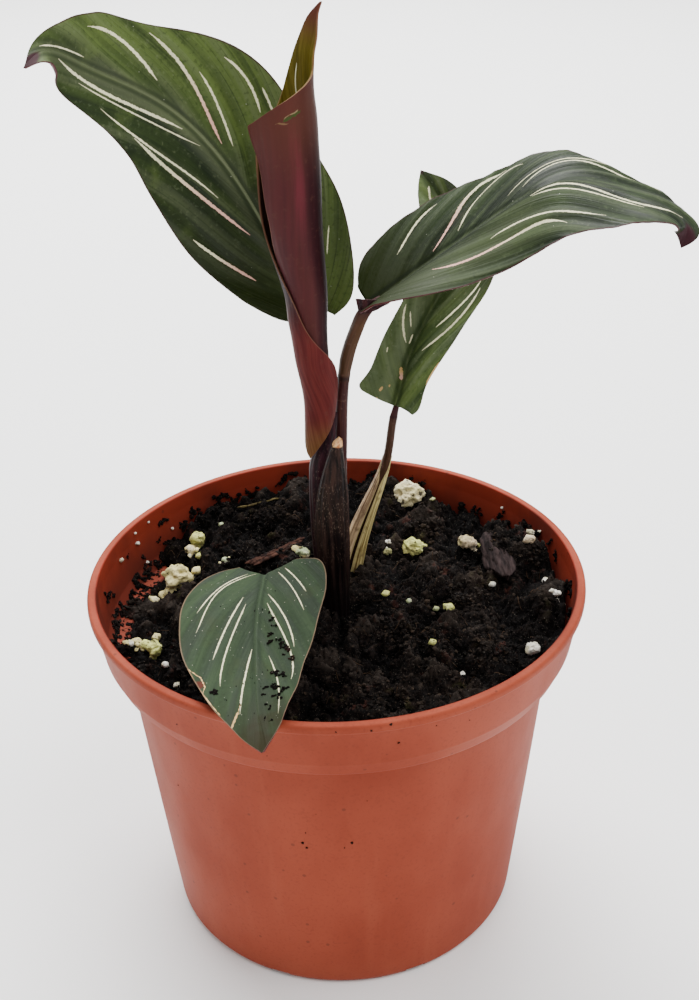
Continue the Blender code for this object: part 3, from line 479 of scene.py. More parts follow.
# Each blade's tones and strengths. The sets of four numbers are a range and what it becomes: warm_from and
# shade_from across the blade in mm, sheen out from sheen_at in mm, and foot along the blade, less on the side
# where foot_far is given. sheen_fade runs along the blade, and the tip browns past tip. warm_from and
# shade_from make one half lighter and the other darker, partly the blade's own tone and partly painted light
# and shade; on the back blade the warm half is a painted grey sheen. sheen is a painted sheen, and foot is
# painted shade, near the foot on the left and right blades and under the right blade on the back one.
LEAF_LOOKS = {
    "left": {
        "deep": tone(24, 35, 17), "light": tone(60, 75, 36), "warm": tone(93, 110, 54),
        "grey": tone(107, 115, 84), "edge": tone(62, 34, 36), "warm_from": (-1, 9, 0, 0.7),
        "shade_from": (-3, -9, 0, 0.6), "sheen_at": -0.8, "sheen": (3.6, 0.5, 0, 0.4), "sheen_fade": (1.1, 1),
        "foot": (0.5, 0.12, 0, 0.7), "foot_far": 0.4, "rib": 0.9, "hairs": 0.45, "gloss": 0.46,
        "specular": 0.14, "dust": 0.015, "tip": 0.93,
    },
    "right": {
        "deep": tone(16, 25, 11), "light": tone(40, 53, 25), "warm": tone(56, 78, 27),
        "grey": tone(84, 94, 66), "edge": tone(62, 34, 36), "warm_from": (-3, -15, 0, 0.6),
        "shade_from": (1, -4, 0, 0.5), "sheen_at": 7, "sheen": (9.5, 0.5, 0, 0.5), "sheen_fade": (0.65, 0.4),
        "foot": (0.27, 0.04, 0, 0.9), "foot_far": 0.85, "rib": 0.15, "hairs": 0.4, "gloss": 0.42,
        "specular": 0.14, "dust": 0.015, "tip": 0.925,
    },
    "back": {
        "deep": tone(46, 60, 31), "light": tone(88, 104, 54), "warm": tone(98, 112, 74),
        "grey": tone(118, 128, 98), "edge": tone(62, 34, 36), "warm_from": (0, -5, 0, 0.6),
        "shade_from": (0, -5, 0, 0), "sheen_at": -3, "sheen": (3, 0.5, 0, 0.35), "sheen_fade": (0.6, 0.3),
        "foot": (0.28, 0.5, 0, 0.55), "foot_far": 1, "rib": 0.1, "hairs": 0.18, "gloss": 0.46,
        "specular": 0.14, "dust": 0.03, "tip": 0.97,
    },
    "low": {
        "deep": tone(37, 48, 34), "light": tone(56, 70, 49), "warm": tone(56, 60, 32),
        "grey": tone(64, 79, 57), "edge": tone(120, 98, 78), "warm_from": (20, 26, 0, 0),
        "shade_from": (-3, -9, 0, 0.1), "sheen_at": 0, "sheen": (3, 0.5, 0, 0.1), "sheen_fade": (1.1, 1),
        "foot": (-1, -2, 0, 0), "foot_far": 1, "rib": 0.35, "hairs": 0.2, "gloss": 0.62,
        "specular": 0.1, "dust": 0.22, "tip": 2,
    },
}


class PotSettings(bpy.types.PropertyGroup):
    """Mesh density, colour and roughness of the pot"""

    steps: IntProperty(name="Steps", description="Faces round the pot", default=192, min=24, max=512)
    plastic: FloatVectorProperty(
        name="Plastic", description="Colour of the pot's plastic", subtype="COLOR", size=4, min=0, max=1,
        default=tone(147, 67, 46),
    )
    roughness: FloatProperty(
        name="Roughness", description="Roughness of the plastic", subtype="FACTOR", default=0.54, min=0, max=1
    )


class SoilSettings(bpy.types.PropertyGroup):
    """Crumbs on the soil, and its colours"""

    crumbs: IntProperty(name="Crumbs", description="Loose crumbs on the soil", default=7900, min=0, max=8000)
    dark: FloatVectorProperty(
        name="Wet peat", description="Darkest colour of the soil", subtype="COLOR", size=4, min=0, max=1,
        default=tone(8, 6, 6),
    )
    light: FloatVectorProperty(
        name="Dry peat", description="Lightest colour of the soil", subtype="COLOR", size=4, min=0, max=1,
        default=tone(36, 29, 25),
    )


class PlantSettings(bpy.types.PropertyGroup):
    """Mesh density of the blades, and colours of the leaves and stalks"""

    blade_rows: IntProperty(
        name="Blade rows", description="Rows of faces along each leaf blade", default=150, min=20, max=400
    )
    underside: FloatVectorProperty(
        name="Underside", description="Burgundy of the leaf undersides and of the rolled leaf",
        subtype="COLOR", size=4, min=0, max=1, default=tone(84, 36, 40),
    )
    stalk: FloatVectorProperty(
        name="Stalks", description="Purple brown of the stalks", subtype="COLOR", size=4, min=0, max=1,
        default=tone(62, 34, 34),
    )


def unit(rows):
    """Each row divided by its own length."""
    return rows / np.maximum(np.linalg.norm(rows, axis=-1, keepdims=True), 1e-12)


def smooth_curve(stations, values):
    """A natural cubic curve through the values, returned as a function of the station.

    Its bends at the stations come from one linear system that makes slopes agree.
    """
    stations = np.asarray(stations, float)
    values = np.asarray(values, float)
    values = values[:, None] if values.ndim == 1 else values
    last = len(stations) - 1
    step = np.diff(stations)
    system = np.eye(last + 1)
    target = np.zeros_like(values)
    for i in range(1, last):
        system[i, i - 1 : i + 2] = step[i - 1], 2 * (step[i - 1] + step[i]), step[i]
        target[i] = 6 * ((values[i + 1] - values[i]) / step[i] - (values[i] - values[i - 1]) / step[i - 1])
    bend = np.linalg.solve(system, target)

    def curve(at):
        at = np.asarray(at, float)
        k = np.clip(np.searchsorted(stations, at, side="right") - 1, 0, last - 1)
        width = step[k][..., None]
        before = (stations[k + 1] - at)[..., None]
        after = (at - stations[k])[..., None]
        cubic = (bend[k] * before**3 + bend[k + 1] * after**3) / (6 * width)
        first = (values[k] / width - bend[k] * width / 6) * before
        return cubic + first + (values[k + 1] / width - bend[k + 1] * width / 6) * after

    return curve


def along(points, count):
    """A smooth curve through the points, as evenly spaced points, and its length."""
    points = np.asarray(points, float)
    chord = np.r_[0, np.cumsum(np.linalg.norm(np.diff(points, axis=0), axis=1))]
    dense = smooth_curve(chord, points)(np.linspace(0, chord[-1], 300))
    run = np.r_[0, np.cumsum(np.linalg.norm(np.diff(dense, axis=0), axis=1))]
    even = np.linspace(0, run[-1], count)
    return np.stack([np.interp(even, run, dense[:, k]) for k in range(3)], -1), run[-1]


def ease(value, low, high):
    """A smooth step from 0 at low to 1 at high: three squares less two cubes of the share between."""
    share = np.clip((value - low) / (high - low), 0, 1)
    return share * share * (3 - 2 * share)


def polar(radius, turn, height):
    """Points round the upright axis: the radius times the turn's cosine and sine, and the height."""
    return np.stack(np.broadcast_arrays(radius * np.cos(turn), radius * np.sin(turn), height), -1)


def read_rows(table, count):
    """A table's heights, evenly spaced, and its other columns there on smooth curves, each as a column."""
    rows = np.array(table)
    height = np.linspace(rows[0, 0], rows[-1, 0], count)
    return height[:, None], *smooth_curve(rows[:, 0], rows[:, 1:])(height).T[..., None]


def full_turn(count):
    """Evenly spaced angles once round."""
    return np.arange(count) * 2 * pi / count


def lattice_noise(points, size, seed):
    """Smooth random heights from -1 to 1: random values on a cubic lattice, eased between its corners."""
    table = np.random.default_rng(seed).uniform(-1, 1, (32, 32, 32))
    place = np.asarray(points, float) / size + 977.3
    cell = np.floor(place).astype(int)
    part = place - cell
    part = part * part * (3 - 2 * part)
    total = np.zeros(place.shape[:-1])
    for corner in np.ndindex(2, 2, 2):
        weight = np.prod(np.where(corner, part, 1 - part), axis=-1)
        total += weight * table[tuple(np.moveaxis((cell + corner) % 32, -1, 0))]
    return total


def turn_z(angle):
    """The matrix of a turn about the upright axis."""
    return np.array(Matrix.Rotation(angle, 3, "Z"))


def wander(random, count, step, spin=0.9):
    """A crooked chain of places: each step turns a little from the one before it."""
    heading = random.uniform(0, 2 * pi) + np.cumsum(random.normal(size=count) * spin)
    return np.cumsum(step * np.stack([np.cos(heading), np.sin(heading)], -1), axis=0)


def ring_faces(rows, sides):
    """Quads that join each ring of points to the next one."""
    i, j = np.meshgrid(np.arange(rows - 1), np.arange(sides), indexing="ij")
    a, b = i * sides + j, i * sides + (j + 1) % sides
    return np.stack([a, b, b + sides, a + sides], -1).reshape(-1, 4).tolist()


def capped(rings, first, last):
    """A closed body through rings of points, with a pole before its first ring and one after its last."""
    rows, sides = rings.shape[:2]
    end = (rows - 1) * sides
    faces = ring_faces(rows, sides)
    faces += [((j + 1) % sides, j, rows * sides) for j in range(sides)]
    faces += [(end + j, end + (j + 1) % sides, rows * sides + 1) for j in range(sides)]
    return np.concatenate([rings.reshape(-1, 3), [first, last]]), faces


def joined(bodies):
    """Several bodies, each as points and faces, as one."""
    points, faces, count = [], [], 0
    for body, sides in bodies:
        faces += [tuple(i + count for i in side) for side in sides]
        points.append(body)
        count += len(body)
    return np.concatenate(points), faces


def sheet_end(columns, first):
    """Faces that close one end of a sheet whose ring runs over its top and back under it."""
    across = columns - 1
    count = 2 * across
    faces = [(first, first + 1, first + count - 1)]
    inner = range(1, across - 1)
    faces += [(first + j, first + j + 1, first + count - j - 1, first + count - j) for j in inner]
    return faces + [(first + across - 1, first + across, first + across + 1)]


def sheet_body(top, inward, thickness):
    """A closed sheet: over its top from one margin to the other, and back along its underside."""
    under = top + inward * thickness[..., None]
    rings = np.concatenate([top, under[:, -2:0:-1]], 1)
    rows, count = rings.shape[:2]
    faces = ring_faces(rows, count) + sheet_end(top.shape[1], 0) + sheet_end(top.shape[1], (rows - 1) * count)
    return rings.reshape(-1, 3), faces


def sheet_facts(grid, under=None):
    """Per point facts for a sheet body, from a fact grid of its top: rows, columns, 3."""
    under = grid if under is None else under
    return np.concatenate([grid, under[:, -2:0:-1]], 1)


def side_facts(out, vein):
    """Facts that tell a sheet's top, 1, from its underside, 0, with its share across and its vein."""
    return sheet_facts(*(np.stack([np.full_like(out, side), out, vein], -1) for side in (1, 0)))


def margin_profile(columns, edge):
    """Shares of the way across from -1 to 1, closer near the margins, and thickness that rounds off there."""
    across = np.sin(np.linspace(-1, 1, columns) * pi / 2)
    inner = np.clip((np.abs(across) - (1 - edge)) / edge, 0, 1)
    return across, np.sqrt(1 - inner**2)


def tube_rings(centre, radius, sides, ripple=0.0, ripples=6):
    """Rings along a path: each lies across it, its radius swelling with a cosine of the turn."""
    ahead = unit(np.gradient(centre, axis=0))
    start = np.array([1.0, 0.2, 0.1])
    side = unit(start - (ahead @ start)[:, None] * ahead)
    up = np.cross(ahead, side)
    turn = full_turn(sides)
    reach = np.asarray(radius)[:, None] * (1 + ripple * np.cos(ripples * turn))
    way = side[:, None] * np.cos(turn)[:, None] + up[:, None] * np.sin(turn)[:, None]
    return centre[:, None] + reach[..., None] * way


def tube_body(rings):
    """Faces of a closed tube through its rings, with a flat end at each end."""
    rows, sides = rings.shape[:2]
    faces = ring_faces(rows, sides)
    faces.append(tuple(range(sides)))
    faces.append(tuple(range((rows - 1) * sides, rows * sides)))
    return rings.reshape(-1, 3), faces


def rounded(profile, reach):
    """A profile with each corner eased: a short parabola from a point before the corner to one after it."""
    points = np.asarray(profile, float)
    made = [points[:1]]
    for before, at, after in zip(points[:-2], points[1:-1], points[2:]):
        start = at + (before - at) * min(0.45, reach / np.linalg.norm(before - at))
        end = at + (after - at) * min(0.45, reach / np.linalg.norm(after - at))
        x = np.linspace(0, 1, 5)[:, None]
        made.append((1 - x) ** 2 * start + 2 * x * (1 - x) * at + x**2 * end)
    made = np.concatenate([*made, points[-1:]])
    counts = (np.linalg.norm(np.diff(made, axis=0), axis=1) // 6).astype(int) + 1
    parts = [a + (b - a) * np.arange(n)[:, None] / n for a, b, n in zip(made[:-1], made[1:], counts)]
    return np.concatenate([*parts, made[-1:]])


def turned_body(profile, steps, wobble):
    """A closed body: a profile turned about the axis, its first and last points being poles on it."""
    radius, height = profile[1:-1].T[..., None]
    ring = polar(radius, full_turn(steps), height)
    swell = 1 + wobble * lattice_noise(ring, 38, 5) / np.maximum(radius, 1)
    ring[..., :2] *= swell[..., None]
    return capped(ring, (0, 0, profile[0, 1]), (0, 0, profile[-1, 1]))


def ball(detail):
    """Points of a unit ball of triangles, and its faces."""
    work = bmesh.new()
    bmesh.ops.create_icosphere(work, subdivisions=detail, radius=1)
    points = np.array([v.co for v in work.verts])
    faces = np.array([[v.index for v in face.verts] for face in work.faces])
    work.free()
    return points, faces


def lump(reach, seed, rough, detail, pits=()):
    """A stone: a ball whose radius swells and shrinks with two sizes of noise, less a dimple at each pit."""
    way, faces = ball(detail)
    swell = 1 + rough * lattice_noise(way, 0.75, seed) + 0.65 * rough * lattice_noise(way, 0.33, seed + 1)
    swell -= 0.4 * rough * np.abs(lattice_noise(way, 0.13, seed + 2))
    for x, y, z, depth in pits:
        towards = unit(np.array([x, y, z]))
        swell -= depth * np.exp(-(np.arccos(np.clip(way @ towards, -1, 1)) ** 2) / 0.09)
    return way * swell[:, None] * np.asarray(reach) / 2, faces.tolist()


def scatter(places, sizes, seed, flatten=0.75):
    """Many small stones as one mesh: 20 faced balls, each squeezed, jittered and turned at random."""
    random = np.random.default_rng(seed)
    way, faces = ball(1)
    count = len(places)
    jitter = way * (1 + random.uniform(-0.32, 0.3, (count, len(way), 1)))
    jitter *= random.uniform(0.6, 1.25, (count, 1, 3))
    spin = unit(random.normal(size=(count, 4)))
    a, b, c, d = spin.T
    turn = np.array([
        [1 - 2 * (c * c + d * d), 2 * (b * c - a * d), 2 * (b * d + a * c)],
        [2 * (b * c + a * d), 1 - 2 * (b * b + d * d), 2 * (c * d - a * b)],
        [2 * (b * d - a * c), 2 * (c * d + a * b), 1 - 2 * (b * b + c * c)],
    ])
    placed = np.einsum("ijn,nkj->nki", turn, jitter) * np.asarray(sizes)[:, None, None] / 2
    placed[..., 2] *= flatten
    points = (placed + np.asarray(places)[:, None, :]).reshape(-1, 3)
    shift = np.arange(count)[:, None, None] * len(way)
    return points, (faces[None] + shift).reshape(-1, 3).tolist()


def new_object(name, points, faces, facts=None, flat=False):
    """A closed mesh from points in mm, its faces turned outwards, with per point facts as attributes."""
    mesh = bpy.data.meshes.new(name)
    mesh.from_pydata((np.asarray(points, float).reshape(-1, 3) * MM).tolist(), [], faces)
    for fact, values in (facts or {}).items():
        layer = mesh.attributes.new(fact, "FLOAT_VECTOR", "POINT")
        layer.data.foreach_set("vector", np.asarray(values, np.float32).reshape(-1))
    work = bmesh.new()
    work.from_mesh(mesh)
    bmesh.ops.recalc_face_normals(work, faces=work.faces)
    work.to_mesh(mesh)
    work.free()
    mesh.polygons.foreach_set("use_smooth", [not flat] * len(mesh.polygons))
    made = bpy.data.objects.new(name, mesh)
    bpy.context.scene.collection.objects.link(made)
    return made


def place_on(made, look, slot, *nodes):
    """Gives a piece its material and its body, and hides the solids that it stands for. The slot is not used.
    """
    made.data.materials.append(look)
    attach(made, "root")
    if nodes:
        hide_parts(*nodes)


def cut_away(made, cutters):
    """Takes the cutters out of a mesh for good, then removes them."""
    for cutter in cutters:
        step = made.modifiers.new(cutter.name, "BOOLEAN")
        step.object = cutter
        step.operation = "DIFFERENCE"
        step.solver = "EXACT"
    view = bpy.context.evaluated_depsgraph_get()
    cut = bpy.data.meshes.new_from_object(made.evaluated_get(view))
    made.modifiers.clear()
    made.data = cut
    for cutter in cutters:
        bpy.data.objects.remove(cutter, do_unlink=True)


def sharpen(made, angle):
    """Marks edges sharper than the angle, in degrees, so that shading breaks there."""
    work = bmesh.new()
    work.from_mesh(made.data)
    for edge in work.edges:
        edge.smooth = edge.calc_face_angle(0) < radians(angle)
    work.to_mesh(made.data)
    work.free()


def outer_radius(height):
    """Radius of the pot's outer wall at a height."""
    radius, level = np.array(POT_OUTER).T
    return np.interp(height, level[::-1], radius[::-1])


def wall_radius(height):
    """Radius of the pot's inner wall at a height."""
    radius, level = np.array(POT_INNER).T
    return np.interp(height, level[2:], radius[2:])


def soil_base(x, y):
    """Level of the solid's soil: a lean, broad heaps and small clods, all sines of x and y."""
    broad = 0.8 * np.sin(0.11 * x + 0.6) * np.cos(0.13 * y - 0.4) + 0.5 * np.sin(0.07 * y - 0.2 * x + 1.1)
    clods = 0.45 * np.sin(0.52 * x + 1.3 * np.sin(0.31 * y)) * np.sin(0.47 * y + 1.1 * np.sin(0.37 * x + 2))
    return SOIL_LEVEL + SOIL_TO_BACK * y + SOIL_TO_RIGHT * x + broad + clods


def soil_lumps(x, y):
    """Clods and grit: folded noise of four sizes, each a heap of round tops with creases between."""
    place = np.stack(np.broadcast_arrays(x, y, 0 * x), -1)
    bend = place + 1.2 * lattice_noise(place, 4.0, 11)[..., None]
    rise = 0.0
    for size, height, seed in CLODS:
        rise = rise + height * (np.abs(lattice_noise(bend, size, seed)) * 1.7 - 0.5)
    return rise + 0.5 * lattice_noise(place, 0.62, 4)


def soil_height(x, y):
    """The solid's level with its heaps, raised or sunk beside the wall, under its lumps."""
    x, y = np.asarray(x, float), np.asarray(y, float)
    angle, shift = np.array(SOIL_AT_WALL).T
    shift = np.interp(np.degrees(np.arctan2(y, x)), angle, shift, period=360)
    level = soil_base(x, y) + shift * ease(np.hypot(x, y), 38, 50)
    for at_x, at_y, reach, height in HEAPS:
        level = level + height * np.exp(-((x - at_x) ** 2 + (y - at_y) ** 2) / (reach / 1.6) ** 2)
    level = level + soil_lumps(x, y)
    return np.where(np.hypot(x, y) > LEDGE_RADIUS, np.maximum(level, LEDGE_LEVEL), level)


def clump(start, end, spread, count, size, random):
    """Places and widths of small stones strewn along a line on the soil."""
    start, end = np.array(start), np.array(end)
    share = random.uniform(0, 1, count)
    flat = start + (end - start) * share[:, None] + random.normal(size=(count, 2)) * spread
    width = size * random.uniform(0.45, 1.15, count)
    heap = 0.5 * width + random.uniform(0, 0.5, count) * size
    return np.c_[flat, soil_height(flat[:, 0], flat[:, 1]) + heap * 0.55, width]


def bark_strips(start, end, thick, strands, seed):
    """A sliver of bark: crooked tubes side by side between two points, each shorter than the last."""
    random = np.random.default_rng(seed)
    aside = unit(np.cross(unit(end - start), (0, 0, 1)))
    run = np.linspace(0, 1, 50)
    body = np.sin(pi * np.clip(run * 6, 0, 0.5)) * np.sin(pi * np.clip((1 - run) * 9, 0, 0.5))
    tubes = []
    for k in range(strands):
        trim = np.sort(random.uniform(0, 1, 2) * (0.22, 0.3) * (k > 0))
        share = np.linspace(trim[0], 1 - trim[1], 50)[:, None]
        shift = (k - (strands - 1) / 2) * 0.75 * thick
        centre = start + (end - start) * share + aside * shift * (1 - 0.35 * share)
        crook = np.stack([lattice_noise(centre, 3.2, seed + 3 * k + n) for n in range(3)], -1)
        centre = centre + 0.5 * thick * crook + (0, 0, 0.25 * thick * (k % 2))
        knots = lattice_noise(centre, 1.1, seed + 40 + k)
        radius = thick * (0.08 + 0.55 * body) * (1.1 - 0.3 * run + 0.4 * knots)
        tubes.append(tube_body(tube_rings(centre, radius, 14, 0.16, 4)))
    return joined(tubes)


def node(tree, kind, inputs=None, **settings):
    """Adds a shader node. An input given as a socket is linked, and any other value is set."""
    made = tree.nodes.new(kind)
    for key, value in settings.items():
        setattr(made, key, value)
    for key, value in (inputs or {}).items():
        if isinstance(value, bpy.types.NodeSocket):
            tree.links.new(value, made.inputs[key])
        else:
            made.inputs[key].default_value = value
    return made


def sums(tree, operation, *values):
    """The result of a Math node."""
    return node(tree, "ShaderNodeMath", dict(enumerate(values)), operation=operation).outputs[0]


def times(tree, value, *others):
    """Values multiplied together."""
    for other in others:
        value = sums(tree, "MULTIPLY", value, other)
    return value


def vectors(tree, operation, *values, out=0):
    """The result of a Vector Math node."""
    return node(tree, "ShaderNodeVectorMath", dict(enumerate(values)), operation=operation).outputs[out]


def vector_of(tree, x, y, z=0.0):
    """Three values as one vector."""
    return node(tree, "ShaderNodeCombineXYZ", {0: x, 1: y, 2: z}).outputs[0]


def height_of(tree, place):
    """The height of a place."""
    return node(tree, "ShaderNodeSeparateXYZ", {0: place}).outputs[2]


def blend(tree, factor, low, high):
    """The colour between two colours."""
    return node(tree, "ShaderNodeMix", {0: factor, 6: low, 7: high}, data_type="RGBA").outputs[2]


def coats(tree, colour, *rows):
    """Lays coats over a colour, one after another, and returns the colour that is left.

    Each row is a value, its range, what the range becomes where that isn't 0 and 1, and the
    coat's colour. A row with no range has its mask as the value.
    """
    for value, *span, coat in rows:
        colour = blend(tree, remap(tree, value, *span) if span else value, colour, coat)
    return colour


def remap(tree, value, low, high, to_low=0.0, to_high=1.0, smooth=True):
    """A value brought from one range to another, and held to it."""
    inputs = {0: value, 1: low, 2: high, 3: to_low, 4: to_high}
    kind = "SMOOTHSTEP" if smooth else "LINEAR"
    return node(tree, "ShaderNodeMapRange", inputs, interpolation_type=kind).outputs[0]


def noise(tree, place, scale, detail=3.0, roughness=0.55, stretch=None):
    """Noise at a place, as a value, with the place stretched first where that is asked."""
    if stretch:
        place = node(tree, "ShaderNodeMapping", {"Vector": place, "Scale": stretch}).outputs[0]
    inputs = {"Vector": place, "Scale": scale, "Detail": detail, "Roughness": roughness}
    return node(tree, "ShaderNodeTexNoise", inputs).outputs[0]


def object_place(tree):
    """A point's place on its object, in metres."""
    return node(tree, "ShaderNodeTexCoord").outputs["Object"]


def fact(tree, name):
    """A mesh's own named vector, and its three parts."""
    read = node(tree, "ShaderNodeAttribute", attribute_name=name)
    parts = node(tree, "ShaderNodeSeparateXYZ", {0: read.outputs["Vector"]}).outputs
    return read.outputs["Vector"], parts[0], parts[1], parts[2]


def bump(tree, height, strength, depth):
    """The normal over a relief, with its depth in mm."""
    inputs = {"Height": height, "Strength": strength, "Distance": depth * MM}
    return node(tree, "ShaderNodeBump", inputs).outputs[0]


def new_material(name, **constants):
    """A Principled material with the given constant sockets, and its tree and shader."""
    made = bpy.data.materials.new(name)
    made.use_nodes = True
    shader = made.node_tree.nodes["Principled BSDF"]
    for key, value in constants.items():
        shader.inputs[key.replace("_", " ")].default_value = value
    return made, made.node_tree, shader


def finish_material(tree, shader, **links):
    """Links each named socket of the shader to what feeds it."""
    for key, socket in links.items():
        tree.links.new(socket, shader.inputs[key.replace("_", " ")])


def new_group(name, inputs, outputs):
    """An empty shader node group with the given sockets."""
    group = bpy.data.node_groups.new(name, "ShaderNodeTree")
    for way, sockets in (("INPUT", inputs), ("OUTPUT", outputs)):
        for label, kind in sockets.items():
            group.interface.new_socket(label, in_out=way, socket_type=f"NodeSocket{kind}")
    enter = group.nodes.new("NodeGroupInput").outputs
    leave = group.nodes.new("NodeGroupOutput").inputs
    return group, enter, leave


def use_group(tree, group, **inputs):
    """Places a node group and returns its first output."""
    return node(tree, "ShaderNodeGroup", inputs, node_tree=group).outputs[0]


def stripe_group():
    """One pinstripe laid over a colour.

    The stripe is a line from start to end on the flat blade, moved sideways by
    bow times 4x(1-x) plus sway times 8x(1-x)(1-2x), where x runs from 0 to 1.
    """
    inputs = {
        "Under": "Color", "Place": "Vector", "Ragged": "Float", "Start": "Vector", "End": "Vector",
        "Bow": "Float", "Sway": "Float", "Width": "Float", "First": "Color", "Last": "Color",
    }
    group, enter, leave = new_group("pinstripe", inputs, {"Color": "Color"})
    span = vectors(group, "SUBTRACT", enter["End"], enter["Start"])
    length = vectors(group, "LENGTH", span, out=1)
    ahead = vectors(group, "NORMALIZE", span)
    aside = vectors(group, "CROSS_PRODUCT", (0, 0, 1), ahead)
    from_start = vectors(group, "SUBTRACT", enter["Place"], enter["Start"])
    x = sums(group, "DIVIDE", vectors(group, "DOT_PRODUCT", from_start, ahead, out=1), length)
    y = vectors(group, "DOT_PRODUCT", from_start, aside, out=1)
    bell = times(group, x, 4.0, sums(group, "SUBTRACT", 1.0, x))
    turn = times(group, sums(group, "MULTIPLY_ADD", x, -4.0, 2.0), bell)
    middle = sums(group, "MULTIPLY_ADD", turn, enter["Sway"], times(group, bell, enter["Bow"]))
    off = sums(group, "ABSOLUTE", sums(group, "SUBTRACT", y, middle))
    half = times(group, enter["Width"], remap(group, bell, 0.0, 0.55, 0.12, 0.5), enter["Ragged"])
    mask = remap(group, sums(group, "SUBTRACT", half, off), -0.07, 0.09)
    mask = times(group, mask, sums(group, "GREATER_THAN", bell, 0.0))
    shade = blend(group, remap(group, x, 0.25, 0.8), enter["First"], enter["Last"])
    group.links.new(blend(group, mask, enter["Under"], shade), leave["Color"])
    return group


def draw_stripe(tree, group, under, place, start, end, width, first, last, bow=0.0, sway=0.0, ragged=1.0):
    """A colour with one pinstripe over it, in its first tone at the start and its last at the end."""
    return use_group(
        tree, group, Under=under, Place=place, Ragged=ragged, Start=(*start, 0), End=(*end, 0), Bow=bow,
        Sway=sway, Width=width, First=first, Last=last,
    )


def specks_group():
    """Scattered round specks: 1 inside a speck, from the distance to random cell points.

    Only the cells whose own random colour is under the share carry a speck. The group is made once.
    """
    known = bpy.data.node_groups.get("specks")
    if known:
        return known
    inputs = {"Place": "Vector", "Scale": "Float", "Size": "Float", "Share": "Float"}
    group, enter, leave = new_group("specks", inputs, {"Mask": "Float"})
    cells = node(group, "ShaderNodeTexVoronoi", {"Vector": enter["Place"], "Scale": enter["Scale"]})
    near = sums(group, "SUBTRACT", enter["Size"], cells.outputs["Distance"])
    chosen = node(group, "ShaderNodeSeparateColor", {0: cells.outputs["Color"]}).outputs[0]
    kept = sums(group, "LESS_THAN", chosen, enter["Share"])
    group.links.new(times(group, remap(group, near, 0.0, 0.06), kept), leave["Mask"])
    return group


def pot_material(settings, specks):
    """Terracotta coloured plastic: faint upright flow streaks, dull patches, and a redder inner wall,
    darkened as painted shade and more so towards the soil.
    """
    made, tree, shader = new_material("terracotta_plastic", Specular_IOR_Level=0.08)
    place = object_place(tree)
    normal = node(tree, "ShaderNodeNewGeometry").outputs["Normal"]
    level = vectors(tree, "MULTIPLY", place, (1, 1, 0))
    facing = vectors(tree, "DOT_PRODUCT", normal, level, out=1)
    inside = remap(tree, facing, -0.02, 0.0, 1.0, 0.0, smooth=False)
    patches = noise(tree, place, 34, detail=5, stretch=(1, 1, 0.6))
    streaks = noise(tree, place, 160, detail=3, stretch=(1, 1, 0.05))
    grain = noise(tree, place, 1400, detail=2)
    dust = use_group(tree, specks, Place=place, Scale=420.0, Size=0.22, Share=0.06)
    # Inner wall: redder than the outside, and darker partly as painted shade.
    wall = coats(
        tree, tone(132, 48, 33),
        (patches, 0.4, 0.62, tone(94, 36, 27)),
        # Painted shade deepening down the inner wall towards the soil.
        (height_of(tree, place), 0.091, 0.08, 0, 0.7, tone(76, 33, 26)),
    )
    colour = coats(
        tree, settings.plastic,
        (patches, 0.35, 0.7, tone(133, 57, 39)),
        (streaks, 0.5, 0.75, 0, 0.25, tone(160, 80, 57)),
        (grain, 0.5, 0.75, 0, 0.4, tone(116, 50, 36)),
        (inside, wall),
        (times(tree, dust, 0.5), tone(74, 40, 32)),
    )
    rough = remap(tree, patches, 0.3, 0.75, settings.roughness - 0.05, settings.roughness + 0.12)
    relief = sums(tree, "MULTIPLY_ADD", streaks, 0.6, times(tree, grain, 0.4))
    finish_material(tree, shader, Base_Color=colour, Roughness=rough, Normal=bump(tree, relief, 0.35, 0.08))
    return made


def soil_material(name, dark, light, warm):
    """Peat: painted shade black in its creases and darker near the pot's wall, browner and lighter on the
    high tops, partly drier peat and partly a painted highlight, with reddish bark dust, moss, a fine crumb
    and fine glints, partly painted highlights and partly perlite dust.

    It reads how high a point stands over its surroundings, in mm, and a random share for each crumb.
    """
    made, tree, shader = new_material(name, Specular_IOR_Level=0.06)
    _, rise, own, _ = fact(tree, "soil_rise")
    place = object_place(tree)
    broad = noise(tree, place, 110, detail=5)
    middle = noise(tree, place, 420, detail=3)
    fine = noise(tree, place, 1300, detail=5, roughness=0.7)
    glint_and_dust = noise(tree, place, 3600, detail=1)
    moss = times(tree, remap(tree, broad, 0.58, 0.7), remap(tree, middle, 0.45, 0.6, 0, 0.5))
    bark = times(tree, remap(tree, broad, 0.44, 0.34), remap(tree, middle, 0.5, 0.62, 0, 0.7))
    from_middle = vectors(tree, "LENGTH", vectors(tree, "MULTIPLY", place, (1, 1, 0)), out=1)
    colour = coats(
        tree, dark,
        (fine, 0.44, 0.68, light),
        (broad, 0.52, 0.7, 0, 0.45, warm),
        (middle, 0.6, 0.74, 0, 0.4, tone(64, 54, 46)),
        (own, 0.6, 1.0, 0, 0.6, tone(66, 54, 44)),
        (moss, tone(54, 55, 30)),
        (bark, tone(68, 38, 31)),
        # Painted shade: black in the creases, where a point stands under its surroundings.
        (rise, 0.6, -1.0, 0, 0.97, tone(3, 2, 2)),
        # Painted shade all round near the pot's wall.
        (from_middle, 0.041, 0.05, 0, 0.5, tone(6, 4, 4)),
        # Lighter on the high tops: partly drier peat, partly a painted highlight.
        (rise, 1.2, 2.8, 0, 0.4, tone(62, 54, 48)),
        # Fine glints: partly painted highlights, partly perlite dust.
        (glint_and_dust, 0.68, 0.76, 0, 0.5, tone(128, 120, 108)),
    )
    wet = remap(tree, broad, 0.35, 0.6, 0.6, 0.95)
    finish_material(tree, shader, Base_Color=colour, Roughness=wet, Normal=bump(tree, fine, 1.0, 0.6))
    return made


